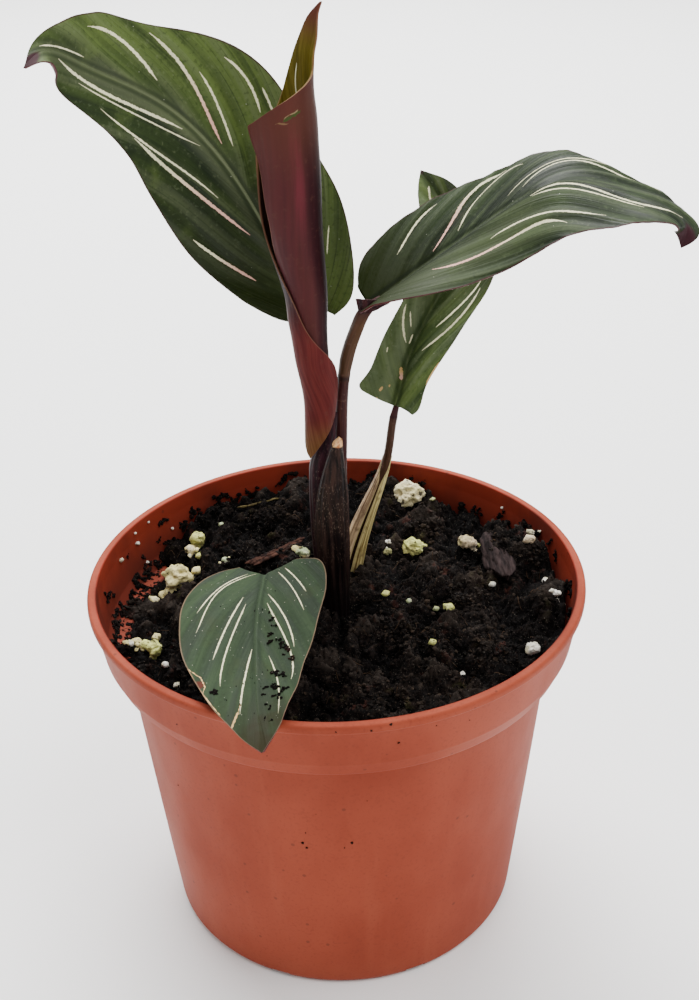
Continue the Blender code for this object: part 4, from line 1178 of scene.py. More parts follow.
def perlite_material(name, colour):
    """Puffed volcanic glass: chalky, with greenish algae stains, peat in its hollows and dark pores."""
    made, tree, shader = new_material(name, Roughness=0.9, Specular_IOR_Level=0.2)
    place = object_place(tree)
    stains = noise(tree, place, 300, detail=3)
    dirt = noise(tree, place, 620, detail=4, roughness=0.6)
    pores = noise(tree, place, 1700, detail=3, roughness=0.65)
    shade = coats(
        tree, colour,
        (stains, 0.42, 0.68, 0, 0.7, tone(170, 160, 104)),
        (stains, 0.45, 0.3, 0, 0.5, tone(226, 220, 198)),
        (pores, 0.54, 0.68, 0, 0.7, tone(96, 84, 56)),
        (dirt, 0.57, 0.66, 0, 0.9, tone(44, 36, 24)),
    )
    finish_material(tree, shader, Base_Color=shade, Normal=bump(tree, pores, 0.9, 0.4))
    return made


def bark_material(name, dark, light, stretch):
    """Bark and dry fibre: long grain that runs with the piece, in two browns."""
    made, tree, shader = new_material(name, Roughness=0.85, Specular_IOR_Level=0.08)
    grain = noise(tree, object_place(tree), 500, detail=5, roughness=0.65, stretch=stretch)
    colour = blend(tree, remap(tree, grain, 0.38, 0.68), dark, light)
    finish_material(tree, shader, Base_Color=colour, Normal=bump(tree, grain, 0.9, 0.3))
    return made


def low_leaf_wear(tree, s, t, flat):
    """Dry tan edges of the tear and the dry streak on the low leaf, as a mask on its flat place."""
    ragged = sums(tree, "MULTIPLY_ADD", noise(tree, flat, 1.2, detail=3), 0.5, -0.25)
    total = 0.0
    for (s0, t0), (s1, t1), width in WEAR:
        along_s, along_t = unit(np.array([s1 - s0, t1 - t0])).tolist()
        reach = float(np.hypot(s1 - s0, t1 - t0))
        from_s, from_t = sums(tree, "SUBTRACT", s, s0), sums(tree, "SUBTRACT", t, t0)
        x = sums(tree, "MULTIPLY_ADD", from_s, along_s, times(tree, from_t, along_t))
        x = sums(tree, "MINIMUM", sums(tree, "MAXIMUM", x, 0.0), reach)
        off_s = sums(tree, "MULTIPLY_ADD", x, -along_s, from_s)
        off_t = sums(tree, "MULTIPLY_ADD", x, -along_t, from_t)
        off = sums(tree, "SQRT", sums(tree, "MULTIPLY_ADD", off_s, off_s, times(tree, off_t, off_t)))
        off = sums(tree, "ADD", off, ragged)
        total = sums(tree, "MAXIMUM", remap(tree, off, width, width - 0.12), total)
    return total


def leaf_material(key, pinstripe, specks, underside):
    """A blade's two faces: bands and hairlines of green along its side veins, pinstripes, burgundy below. On
    top, fold ridges get a painted highlight and a painted sheen lies in a band along the blade, while painted
    shade lies in the fold valleys, beside the midrib and along part of the blade.
    """
    look = LEAF_LOOKS[key]
    deep, warm, grey = look["deep"], look["warm"], look["grey"]
    made, tree, shader = new_material(f"leaf_{key}", Specular_IOR_Level=look["specular"])
    flat, s, t, _ = fact(tree, "leaf_place")
    _, side, out, vein = fact(tree, "leaf_side")
    _, grain, fold, _ = fact(tree, "leaf_grain")
    place = object_place(tree)
    ahead = times(tree, s, 0.035)
    bands, hairlines = (
        noise(tree, vector_of(tree, times(tree, grain, fineness), ahead, side), 1.0, detail=2, roughness=0.5)
        for fineness in (0.3, 1.7)
    )
    mottle = noise(tree, place, 120, detail=3)
    fleck = noise(tree, place, 1100, detail=3)
    from_rib = sums(tree, "ABSOLUTE", t)
    off = sums(tree, "ABSOLUTE", sums(tree, "SUBTRACT", t, look["sheen_at"]))
    # Painted shade in the groove right beside the midrib.
    beside = sums(tree, "ABSOLUTE", sums(tree, "SUBTRACT", from_rib, 0.8))
    # Painted shade along part of the blade: near the foot on the left and right blades, under the right blade
    # on the back one.
    foot = times(
        tree, remap(tree, vein, *look["foot"]), remap(tree, t, 0.0, 5.0, 1.0, look["foot_far"]),
        remap(tree, vein, 0.86, 0.74),
    )
    rib = times(tree, remap(tree, from_rib, 0.1, 0.45, look["rib"], 0.0), remap(tree, vein, 1.0, 0.3))
    green = coats(
        tree, deep,
        (bands, 0.36, 0.66, look["light"]),
        # One half lighter and warmer, the other darker: partly the blade's own tone, partly painted light and
        # shade.
        (t, *look["warm_from"], warm),
        (t, *look["shade_from"], deep),
        # Painted highlight on the fold ridges.
        (times(tree, remap(tree, fold, 0.2, 0.9, 0, 0.5), bands), grey),
        # Painted shade in the fold valleys.
        (fold, -0.45, -0.95, 0, 0.35, deep),
        (hairlines, 0.52, 0.68, 0, look["hairs"], deep),
        (mottle, 0.52, 0.75, 0, 0.3, warm),
        (fleck, 0.55, 0.75, 0, 0.3, grey),
        (fleck, 0.46, 0.28, 0, 0.4, deep),
        # Painted sheen in a band along the blade, fading along it where sheen_fade says.
        (times(tree, remap(tree, off, *look["sheen"]), remap(tree, vein, *look["sheen_fade"])), grey),
        # The painted shade of foot.
        (foot, tone(27, 34, 6)),
        # Painted shade beside the midrib.
        (beside, 0.0, 0.8, 0.6, 0.0, deep),
        (rib, grey),
    )
    ragged = noise(tree, flat, 1.3, detail=3, roughness=0.7)
    ragged = remap(tree, ragged, 0.3, 0.7, 0.5, 1.25, smooth=False)
    for start, end, bow, sway, width, *tones in STRIPES[key]:
        first, last = (STRIPE_TONES[name] for name in tones or ("cream", "cream"))
        width *= STRIPE_SLIM[key]
        green = draw_stripe(tree, pinstripe, green, flat, start, end, width, first, last, bow, sway, ragged)
    dust = use_group(tree, specks, Place=flat, Scale=1.25, Size=0.15, Share=look["dust"])
    green = coats(tree, green, (times(tree, dust, 0.6), tone(190, 190, 172)))
    if key == "low":
        brown = times(tree, remap(tree, vein, 0.62, 0.92, 0, 0.95), remap(tree, mottle, 0.4, 0.6, 0.5, 1.0))
        green = coats(
            tree, green,
            (vectors(tree, "DISTANCE", flat, TORN_AT, out=1), 1.5, 0.8, tone(84, 40, 28)),
            (low_leaf_wear(tree, s, t, flat), tone(226, 186, 128)),
            (brown, tone(40, 36, 19)),
        )
    green = coats(
        tree, green,
        (sums(tree, "ABSOLUTE", out), 0.978, 0.993, 0, 0.8, look["edge"]),
        (vein, look["tip"], look["tip"] + 0.02, tone(52, 25, 31)),
    )
    under = coats(
        tree, underside,
        (bands, 0.35, 0.7, tone(56, 24, 32)),
        (hairlines, 0.5, 0.75, 0, 0.4, tone(104, 56, 52)),
    )
    colour = blend(tree, side, under, green)
    rough = remap(tree, bands, 0.36, 0.64, look["gloss"] - 0.08, look["gloss"] + 0.2)
    relief = sums(tree, "MULTIPLY_ADD", fleck, 0.3, hairlines)
    finish_material(tree, shader, Base_Color=colour, Roughness=rough, Normal=bump(tree, relief, 0.5, 0.25))
    return made


def roll_material(pinstripe, underside):
    """The rolled leaf: burgundy outside with crimson streaks, partly pigment and partly a painted highlight,
    darker towards its right side, painted shade behind its edges and on the inner winding, olive inside, pale
    margins.
    """
    made, tree, shader = new_material("leaf_rolled", Specular_IOR_Level=0.07)
    _, run, turn, height = fact(tree, "leaf_place")
    _, side, out, _ = fact(tree, "leaf_side")
    place = object_place(tree)
    grain = noise(tree, vector_of(tree, run, times(tree, height, 0.05)), 1.1, detail=5, roughness=0.6)
    soft = noise(tree, place, 70, detail=4, stretch=(1, 1, 0.35))
    speck = noise(tree, place, 700, detail=3)
    body = sums(tree, "MULTIPLY_ADD", grain, 0.3, times(tree, soft, 0.7))
    # Crimson streak down the front: partly the leaf's pigment, partly a painted highlight.
    crimson = times(
        tree, remap(tree, turn, -88, -74), remap(tree, turn, -56, -66),
        remap(tree, grain, 0.3, 0.65, 0.3, 1.0), remap(tree, height, 176, 187),
        remap(tree, height, 204, 198, 0, 0.75),
    )
    # Painted shade where the sheet turns away behind the roll.
    shade_behind = times(tree, remap(tree, turn, -48, -14, 0, 0.8), remap(tree, turn, 70, 20, 0.6, 1.0))
    wrap = times(tree, remap(tree, height, 165, 152, 0, 0.85), remap(tree, turn, 120, 160))
    scarlet = coats(tree, tone(82, 29, 29), (grain, 0.32, 0.68, tone(103, 42, 38)))
    foot = times(tree, remap(tree, height, 135, 124, 0, 0.95), remap(tree, turn, 130, 190))
    ochre = coats(tree, tone(98, 64, 36), (grain, 0.4, 0.65, tone(116, 86, 52)))
    # Painted shade on the inner winding low down, inside the wrap.
    inner = times(tree, remap(tree, height, 152, 142), remap(tree, turn, 130, 90))
    red = coats(
        tree, tone(66, 32, 35),
        (body, 0.4, 0.6, underside),
        (soft, 0.38, 0.68, 0, 0.7, tone(62, 36, 31)),
        (crimson, tone(98, 38, 47)),
        # Darker towards the right side: partly pigment, partly painted shade.
        (turn, -72, -46, 0, 0.75, tone(32, 12, 19)),
        (shade_behind, tone(19, 8, 13)),
        (height, 188, 205, 0, 0.6, tone(84, 48, 37)),
        (wrap, scarlet),
        (foot, ochre),
        (inner, tone(36, 13, 20)),
        (speck, 0.56, 0.75, 0, 0.3, tone(84, 54, 44)),
    )
    olive = coats(
        tree, tone(80, 70, 18),
        (grain, 0.3, 0.7, tone(112, 99, 34)),
        (height, 214, 223, tone(88, 48, 37)),
        (height, 206, 184, 0, 0.9, tone(52, 26, 26)),
    )
    cream = STRIPE_TONES["cream"]
    by_angle = vector_of(tree, turn, height)
    olive = draw_stripe(tree, pinstripe, olive, by_angle, (62, 203), (66, 212), 2.2, cream, cream)
    by_run = vector_of(tree, run, height)
    ragged = remap(tree, speck, 0.4, 0.6, 0.2, 1.4, smooth=False)
    for start, end, width, shade in ROLL_SCARS:
        red = draw_stripe(tree, pinstripe, red, by_run, start, end, width, shade, shade, 0.1, 0.2, ragged)
    pale = (sums(tree, "ABSOLUTE", out), 0.985, 0.998, 0, 0.6, tone(124, 88, 70))
    finish_material(
        tree, shader, Base_Color=coats(tree, blend(tree, side, olive, red), pale),
        Roughness=remap(tree, soft, 0.3, 0.7, 0.46, 0.62),
        Normal=bump(tree, sums(tree, "MULTIPLY_ADD", speck, 0.4, grain), 0.3, 0.12),
    )
    return made


def stalk_material(name, low, high, ring=0.0):
    """A stalk: fine lengthways grain, browner towards the top, with a darker joint ring where it has one."""
    made, tree, shader = new_material(name, Specular_IOR_Level=0.14)
    _, share, turn, _ = fact(tree, "stalk_place")
    grain = noise(tree, vector_of(tree, turn, share), 14, detail=4, stretch=(1, 0.6, 1))
    speck = noise(tree, object_place(tree), 800, detail=3)
    rise = (ring - 0.02, ring + 0.02) if ring else (0.2, 0.9)
    colour = coats(
        tree, low,
        (share, *rise, high),
        (grain, 0.45, 0.75, 0, 0.5, tone(104, 66, 54)),
        (grain, 0.45, 0.25, 0, 0.6, tone(30, 14, 17)),
        (speck, 0.58, 0.72, 0, 0.4, tone(116, 82, 72)),
    )
    if ring:
        off = sums(tree, "ABSOLUTE", sums(tree, "SUBTRACT", share, ring))
        colour = coats(tree, colour, (off, 0.0, 0.012, 0.8, 0.0, tone(36, 20, 20)))
    finish_material(
        tree, shader, Base_Color=coats(tree, colour, (share, 0.9, 0.98, 0, 0.85, tone(54, 24, 31))),
        Roughness=remap(tree, grain, 0.3, 0.7, 0.38, 0.55), Normal=bump(tree, grain, 0.4, 0.12),
    )
    return made


def sheath_material(name, dark, light, cut=None):
    """A fibrous sheath: streaks run up it, painted shade darkens its foot, dust lies on it, a cut end is
    cream.
    """
    made, tree, shader = new_material(name, Specular_IOR_Level=0.12)
    place = object_place(tree)
    height = height_of(tree, place)
    streaks = noise(tree, place, 900, detail=4, roughness=0.6, stretch=(1, 1, 0.08))
    blotch = noise(tree, place, 140, detail=3)
    dust = remap(tree, noise(tree, place, 4200, detail=1, stretch=(1, 1, 0.3)), 0.6, 0.72)
    colour = coats(
        tree, dark,
        (streaks, 0.38, 0.68, light),
        (blotch, 0.45, 0.75, 0, 0.5, tone(44, 32, 24)),
        (times(tree, dust, remap(tree, blotch, 0.4, 0.6, 0.0, 0.4)), tone(140, 118, 104)),
        # Painted shade darkening the lower part.
        (height, 0.106, 0.084, 0, 0.95, tone(14, 9, 10)),
    )
    if cut:
        pith = coats(tree, tone(236, 190, 136), (streaks, 0.45, 0.65, tone(186, 110, 66)))
        colour = coats(tree, colour, (height, cut * MM, (cut + 0.4) * MM, pith))
    finish_material(
        tree, shader, Base_Color=colour, Roughness=remap(tree, streaks, 0.3, 0.7, 0.42, 0.62),
        Normal=bump(tree, streaks, 0.6, 0.2),
    )
    return made


def dry_sheath_material():
    """Dry sheath: brown tan on one side of its split, streaked yellow on the other, darker at its foot."""
    made, tree, shader = new_material("sheath_dry", Specular_IOR_Level=0.25)
    _, across, turn, _ = fact(tree, "sheath_side")
    place = object_place(tree)
    height = height_of(tree, place)
    run = vector_of(tree, times(tree, turn, 7.0), times(tree, height, 60.0))
    streaks = noise(tree, run, 1.0, detail=4, roughness=0.65)
    blotch = noise(tree, place, 300, detail=3)
    brown = coats(tree, tone(132, 103, 76), (streaks, 0.38, 0.64, tone(224, 195, 152)))
    yellow = coats(tree, tone(128, 104, 52), (streaks, 0.4, 0.6, tone(230, 213, 146)))
    colour = coats(
        tree, brown,
        (across, 0.2, -0.2, yellow),
        (blotch, 0.54, 0.7, 0, 0.6, tone(78, 54, 38)),
        (sums(tree, "ABSOLUTE", across), 0.955, 0.985, 0, 0.7, tone(214, 198, 140)),
        (height, 0.09, 0.083, 0, 0.6, tone(40, 28, 18)),
    )
    finish_material(
        tree, shader, Base_Color=colour, Roughness=remap(tree, streaks, 0.3, 0.7, 0.5, 0.7),
        Normal=bump(tree, streaks, 0.6, 0.2),
    )
    return made


def blade_sheet(leaf, rows, swing):
    """A blade's upper face, the way in from it, its thickness and its flat place.

    The flat place of vein u and share v lies along u + (m(u) - u)|v|^1.6 of the
    length, where m is the margin's curve, and across v times the half outline.
    It is bent round the midrib curve, and each half is lifted by its own angle.
    """
    last = MIDRIB_POINTS - 1
    spine, length = along(leaf["midrib"], MIDRIB_POINTS)
    tangent = unit(np.gradient(spine, axis=0))
    face = np.asarray(leaf["face"], float)
    normal = unit(face - (tangent @ face)[:, None] * tangent)
    side = np.cross(tangent, normal)
    turn = np.radians(smooth_curve((0, 0.5, 1), leaf["turn"])(np.linspace(0, 1, MIDRIB_POINTS)))
    normal, side = np.cos(turn) * normal + np.sin(turn) * side, np.cos(turn) * side - np.sin(turn) * normal
    across, profile = margin_profile(BLADE_COLUMNS, 0.035)
    vein, out = np.meshgrid(np.linspace(0, 1, rows), across, indexing="ij")
    far = out > 0
    margin_along = smooth_curve(OUTLINE_AT, OUTLINE_ALONG)(vein)[..., 0]
    margin_along += np.where(far, *leaf.get("base", (0, 0))) * ease(0.2 - vein, 0, 0.2)
    margin_across = smooth_curve(OUTLINE_AT, OUTLINE_ACROSS)(vein)[..., 0]
    margin_across += leaf.get("square", 0) * ease(0.12 - vein, 0, 0.12)
    quarter = (0, 0.25, 0.5, 0.75, 1)
    shares = [smooth_curve(quarter, share)(vein)[..., 0] for share in leaf["shares"]]
    t = out * margin_across * leaf["half_width"] * np.where(far, *shares)
    swings = [reach * np.sin(2 * pi * waves * (vein - start)) for reach, waves, start in swing]
    swung = np.sign(out) * np.abs(out) ** 4 * np.where(far, *swings)
    t = t + swung * ease(vein, 0.08, 0.3) * ease(1 - vein, 0.05, 0.25)
    s = length * (vein + (margin_along - vein) * np.abs(out) ** 1.6)
    s = s - leaf.get("heel", 0) * ease(0.06 - vein, 0, 0.06) * (1 - out**2)
    place = np.clip(s / length, 0, 1) * last

    def pick(rows_of):
        return np.stack([np.interp(place, np.arange(last + 1), rows_of[:, k]) for k in range(3)], -1)

    t_way, n_way, b_way = unit(pick(tangent)), pick(normal), pick(side)
    lifts = [np.radians(smooth_curve((0, 0.5, 1), lift)(place / last)[..., 0]) for lift in leaf["lift"]]
    lift = np.where(far, *lifts)
    top = pick(spine) + t_way * (s - np.clip(s, 0, length))[..., None]
    top = top + b_way * (t * np.cos(lift))[..., None] + n_way * (np.abs(t) * np.sin(lift))[..., None]
    return top, n_way, t, s, vein, out, profile


def vein_lines(key, s, t):
    """Which side vein runs through each flat place, as its distance in mm from the one at the foot.

    A vein's slope changes along the midrib, so its line is |t| less the sum of the slopes up to s.
    """
    steps = np.linspace(-10, 110, 241)
    halves = []
    for rows in VEINS[key]:
        at, angle = np.array(rows, float).T
        slope = np.tan(np.radians(np.interp(steps, at, angle)))
        halves.append(np.abs(t) - np.interp(s, steps, 0.5 * np.cumsum(slope)))
    return np.where(t > 0, *halves)


def add_blade(key, pinstripe, specks, settings):
    """One blade: folds run out along its side veins, the midrib is a groove above and a rib below.

    A fold is a cosine of the distance across the side veins; the margin also swings in and out as a sine.
    """
    relief = RELIEF[key]
    top, up, t, s, vein, out, profile = blade_sheet(LEAVES[key], settings.blade_rows, relief["swing"])
    inside = np.abs(out) ** 0.6 * (1 - 0.6 * np.abs(out) ** 4) * np.where(out > 0, *relief["height"])
    grain = vein_lines(key, s, t)
    phase = 2 * pi * grain / relief["spacing"] + relief["shift"] * (out > 0) + 0.6 * np.sin(0.7 * grain)
    fold = np.cos(phase) * np.minimum(1, 6 * vein) * ease(1 - vein, 0, 0.15)
    fine = 0.04 * np.abs(out) * np.cos(3 * phase + 2 * lattice_noise(top, 9, 3))
    sway = relief["sway"] * np.abs(out) ** 3 * np.sin(2 * pi * 2.3 * vein + relief["shift"])
    sway = sway * np.sin(pi * vein)
    groove = -0.4 * np.exp(-((t / 0.8) ** 2)) * (1 - vein)
    top = top + up * (fold * inside + fine + sway + groove)[..., None]
    rib = np.exp(-((t / 1.0) ** 2)) * (1 - 0.85 * vein)
    thickness = (BLADE_EDGE + (BLADE_RIB - BLADE_EDGE) * rib) * profile * ease(1 - vein, 0, 0.015)
    # leaf_grain carries the folds, which the material also paints: highlights on the ridges, shade in the
    # valleys.
    facts = {
        "leaf_place": sheet_facts(np.stack([s, t, 0 * t], -1)),
        "leaf_side": side_facts(out, vein),
        "leaf_grain": sheet_facts(np.stack([grain + 60 * (t > 0), fold, 0 * t], -1)),
    }
    made = new_object(f"leaf_blade_{key}", *sheet_body(top, -up, thickness), facts)
    look = leaf_material(key, pinstripe, specks, settings.underside)
    place_on(made, look, "leaf_green", f"blade_{key}")
    return top, up, s, t


def add_roll(pinstripe, underside):
    """The rolled leaf: at each height one sheet is wound from its start angle to its end angle.

    Its radius is the front radius plus the pitch times the share of a whole turn.
    """
    rows, columns = ROLL_POINTS
    tall, x, y, radius, start, end = read_rows(ROLL_ROWS, rows)
    start = start - 24 * ease(tall, 143, 150) * ease(182 - tall, 0, 12)
    at, angle = np.array(ROLL_CORNER).T
    start = np.where((tall > at[0]) & (tall < at[-1]), np.interp(tall, at, angle), start)
    pitch = ROLL_PITCH - 0.8 * ease(tall, 146, 156) - 0.6 * ease(134 - tall, 0, 12)
    across, profile = margin_profile(columns, 0.02)
    turn = start + (end - start) * (across + 1) / 2
    reach = radius + pitch * (turn + 90) / 360
    corner = ease(tall, 193, 201) * ease(206 - tall, 0, 5)
    reach = reach + 0.8 * corner * np.exp(-(((turn + 168) / 18) ** 2))
    way = polar(1, np.radians(turn), 0)
    lobe = 4.2 * ease(129 - tall, 0, 8) * ease(243 - turn, 0, 66)
    top = way * reach[..., None] + np.stack(np.broadcast_arrays(x, y, tall + lobe), -1)
    place = np.stack([turn / 14, tall / 40 + 0 * turn, 0 * turn], -1)
    grooves = np.cos(np.radians(turn) * 22 + 3 * lattice_noise(place, 2.0, 9))
    ripple = 0.09 * lattice_noise(place, 1.0, 8) + 0.02 * grooves
    top = top + way * ripple[..., None]
    facts = {
        "leaf_place": sheet_facts(np.stack([np.radians(turn) * reach, turn, tall + 0 * turn], -1)),
        "leaf_side": side_facts(across + 0 * turn, 0 * turn),
    }
    body = sheet_body(top, -way, ROLL_THICKNESS * profile * np.ones_like(turn))
    made = new_object("leaf_rolled", *body, facts)
    place_on(made, roll_material(pinstripe, underside), "leaf_burgundy", "rolled_leaf")


def add_base_fold():
    """The folded flap under the right blade's foot: a bowed sheet between its top and bottom edge curves."""
    upper, lower = (smooth_curve((0, 0.5, 1), edge) for edge in BASE_FOLD)
    across, profile = margin_profile(33, 0.08)
    share, down = np.meshgrid(np.linspace(0, 1, 36), (across + 1) / 2, indexing="ij")
    top = upper(share) * (1 - down)[..., None] + lower(share) * down[..., None]
    bow = 0.9 * np.sin(pi * down) * np.sin(pi * share) + 0.12 * np.cos(26 * share + 5 * down)
    top = top + bow[..., None] * np.array([0.1, -1, 0.15])
    body = sheet_body(top, np.array([0.0, 1.0, 0.0]), 0.5 * profile * np.ones_like(share))
    look = sheath_material("leaf_fold", tone(38, 16, 23), tone(74, 38, 40))
    place_on(new_object("leaf_base_fold", *body), look, "leaf_burgundy")


def stalk_route(key):
    """A stalk's points, on under the foot of its blade and in line with the midrib."""
    leaf = LEAVES[key]
    midrib, _ = along(leaf["midrib"], 60)
    heading = unit(midrib[1] - midrib[0])
    face = np.asarray(leaf["face"], float)
    down = -unit(face - (face @ heading) * heading)
    ahead, under = leaf.get("tuck", (0.8, 1.1))
    end = midrib[0] + heading * ahead + down * under
    points = np.array(STALKS[key][0])
    points[2:] += down * leaf.get("sink", 0.0)
    return [*points, end - heading * 3.9, end]


def add_stalk(key, low, high, ring=0.0):
    """A stalk: a tube along its curve, slimmer towards the top, swollen a little at its joint ring."""
    _, foot, tip = STALKS[key]
    rows, sides = STALK_POINTS
    centre, _ = along(stalk_route(key), rows)
    share = np.linspace(0, 1, rows)
    radius = smooth_curve((0, 0.5, 1), (foot, (foot + tip) / 2, tip))(share)[:, 0]
    radius = radius * (1 - 0.35 * ease(share, 0.93, 1.0))
    if ring:
        swell = 0.07 * np.exp(-(((share - ring) / 0.012) ** 2))
        radius = radius * (1 + swell + 0.16 * ease(share, ring, ring + 0.05))
    rings = tube_rings(centre, radius, sides, 0.02, 7)
    turn = np.abs(np.linspace(-1, 1, sides, endpoint=False))
    facts = np.stack(np.broadcast_arrays(share[:, None], turn, 0.0), -1)
    made = new_object(f"leaf_stalk_{key}", *tube_body(rings), {"stalk_place": facts})
    place_on(made, stalk_material(f"stalk_{key}", low, high, ring), "stalk_purple", f"stalk_{key}")


def add_crown():
    """The stem of wrapped sheaths: lightly fluted rings up its own axis, to a point beside the roll."""
    rows, sides = CROWN_POINTS
    tall, x, y, radius = read_rows(CROWN_ROWS, rows)
    turn = full_turn(sides)
    reach = radius * (1 + 0.02 * np.cos(11 * turn) + 0.035 * np.cos(3 * turn + tall / 22))
    rings = polar(reach, turn, tall) + np.stack([x, y, 0 * x], -1)
    made = new_object("stem_sheaths", *tube_body(rings))
    look = sheath_material("stem_sheath", tone(28, 11, 18), tone(54, 25, 33))
    place_on(made, look, "stalk_purple", "crown_stem")


def add_front_sheath():
    """The short front sheath: oval rings with seven ribs and fine ribs between them, cut off flat."""
    rows, sides = FRONT_SHEATH_POINTS
    tall, x, y, wide, deep = read_rows(FRONT_SHEATH_ROWS, rows)
    turn = full_turn(sides)
    fade = np.clip((tall[-1] - tall) / 12, 0, 1)
    rib = 1 + fade * (0.04 * np.cos(14 * turn + tall / 18) + 0.014 * np.cos(42 * turn + tall / 9))
    tilt = 0.9 * ease(tall, 125.4, 128.2) * (np.cos(turn - 0.6) + 0.25 * np.cos(5 * turn))
    oval = x - 0.35 + wide * rib * np.cos(turn), y + deep * rib * np.sin(turn), tall + tilt
    made = new_object("sheath_front", *tube_body(np.stack(oval, -1)))
    look = sheath_material("sheath_front", tone(13, 7, 8), tone(59, 41, 35), SHEATH_CUT)
    place_on(made, look, "sheath_brown", "front_sheath")


def add_dry_sheath():
    """The dry sheath: a thin sheet round the back stalk, split down its front, that closes at its top."""
    rows, columns = DRY_SHEATH_POINTS
    tall, radius, split = read_rows(DRY_SHEATH_ROWS, rows)
    stalk, _ = along(stalk_route("back"), 60)
    across, profile = margin_profile(columns, 0.04)
    narrow = 1 - 0.5 * ease(tall, 109, 117)
    turn = 90 + (180 - split) * across * narrow - 6 * ease(tall, 104, 117)
    angle = np.radians(turn)
    curl = 1 - 0.16 * ease(np.abs(across), 0.88, 1.0)
    reach = radius * curl * (1 + 0.035 * np.cos(angle * 13 + tall / 12) + 0.03 * np.cos(angle * 5))
    way = polar(1, angle, 0)
    centre = np.stack([np.interp(tall, stalk[:, 2], stalk[:, k]) for k in range(2)] + [tall], -1)
    top = centre + way * reach[..., None]
    facts = {"sheath_side": sheet_facts(np.stack([across + 0 * turn, turn / 60, 0 * turn], -1))}
    made = new_object("sheath_dry", *sheet_body(top, -way, 0.4 * profile * np.ones_like(turn)), facts)
    place_on(made, dry_sheath_material(), "dry_sheath_tan", "dry_sheath")


class CALATHEA_OT_pot(bpy.types.Operator):
    """Turns the nursery pot, cuts its drain holes and outlets, and dirties it with soil specks"""

    bl_idname = "calathea.pot"
    bl_label = "Pot"

    def execute(self, context):
        settings = context.scene.calathea_pot
        outline = [(0, 0), *POT_OUTER[::-1], *POT_INNER[::-1], (0, 1.3)]
        pot = new_object("nursery_pot", *turned_body(rounded(outline, 0.4), settings.steps, 0.12))
        cut_away(pot, self.cutters())
        sharpen(pot, 40)
        place_on(pot, pot_material(settings, specks_group()), "terracotta_plastic", "pot")
        turn, height, size = np.array(FRONT_SPECKS).T
        places = polar(outer_radius(height), np.radians(turn), height)
        made = new_object("pot_specks", *scatter(places, size, 31, 1.0), flat=True)
        place_on(made, soil_material("speck", tone(30, 16, 12), tone(60, 34, 26), tone(50, 26, 20)), "soil")
        return {"FINISHED"}

    def cutters(self):
        """A round drain hole through the floor and a square outlet through the foot, at each angle."""
        made = []
        for i in range(DRAIN_COUNT):
            turn = 2 * pi * (i + 0.5) / DRAIN_COUNT
            centre = np.array([cos(turn), sin(turn), 0]) * DRAIN_CIRCLE
            rings = tube_rings(centre + np.array([[0, 0, 0.5], [0, 0, 6.0]]), [DRAIN_RADIUS] * 2, 40)
            made.append(new_object(f"drain_{i}", *tube_body(rings)))
            square = np.stack([np.c_[OUTLET, np.full(4, z)] for z in (-1.0, 1.3)]) @ turn_z(turn).T
            made.append(new_object(f"outlet_{i}", *tube_body(square)))
        return made


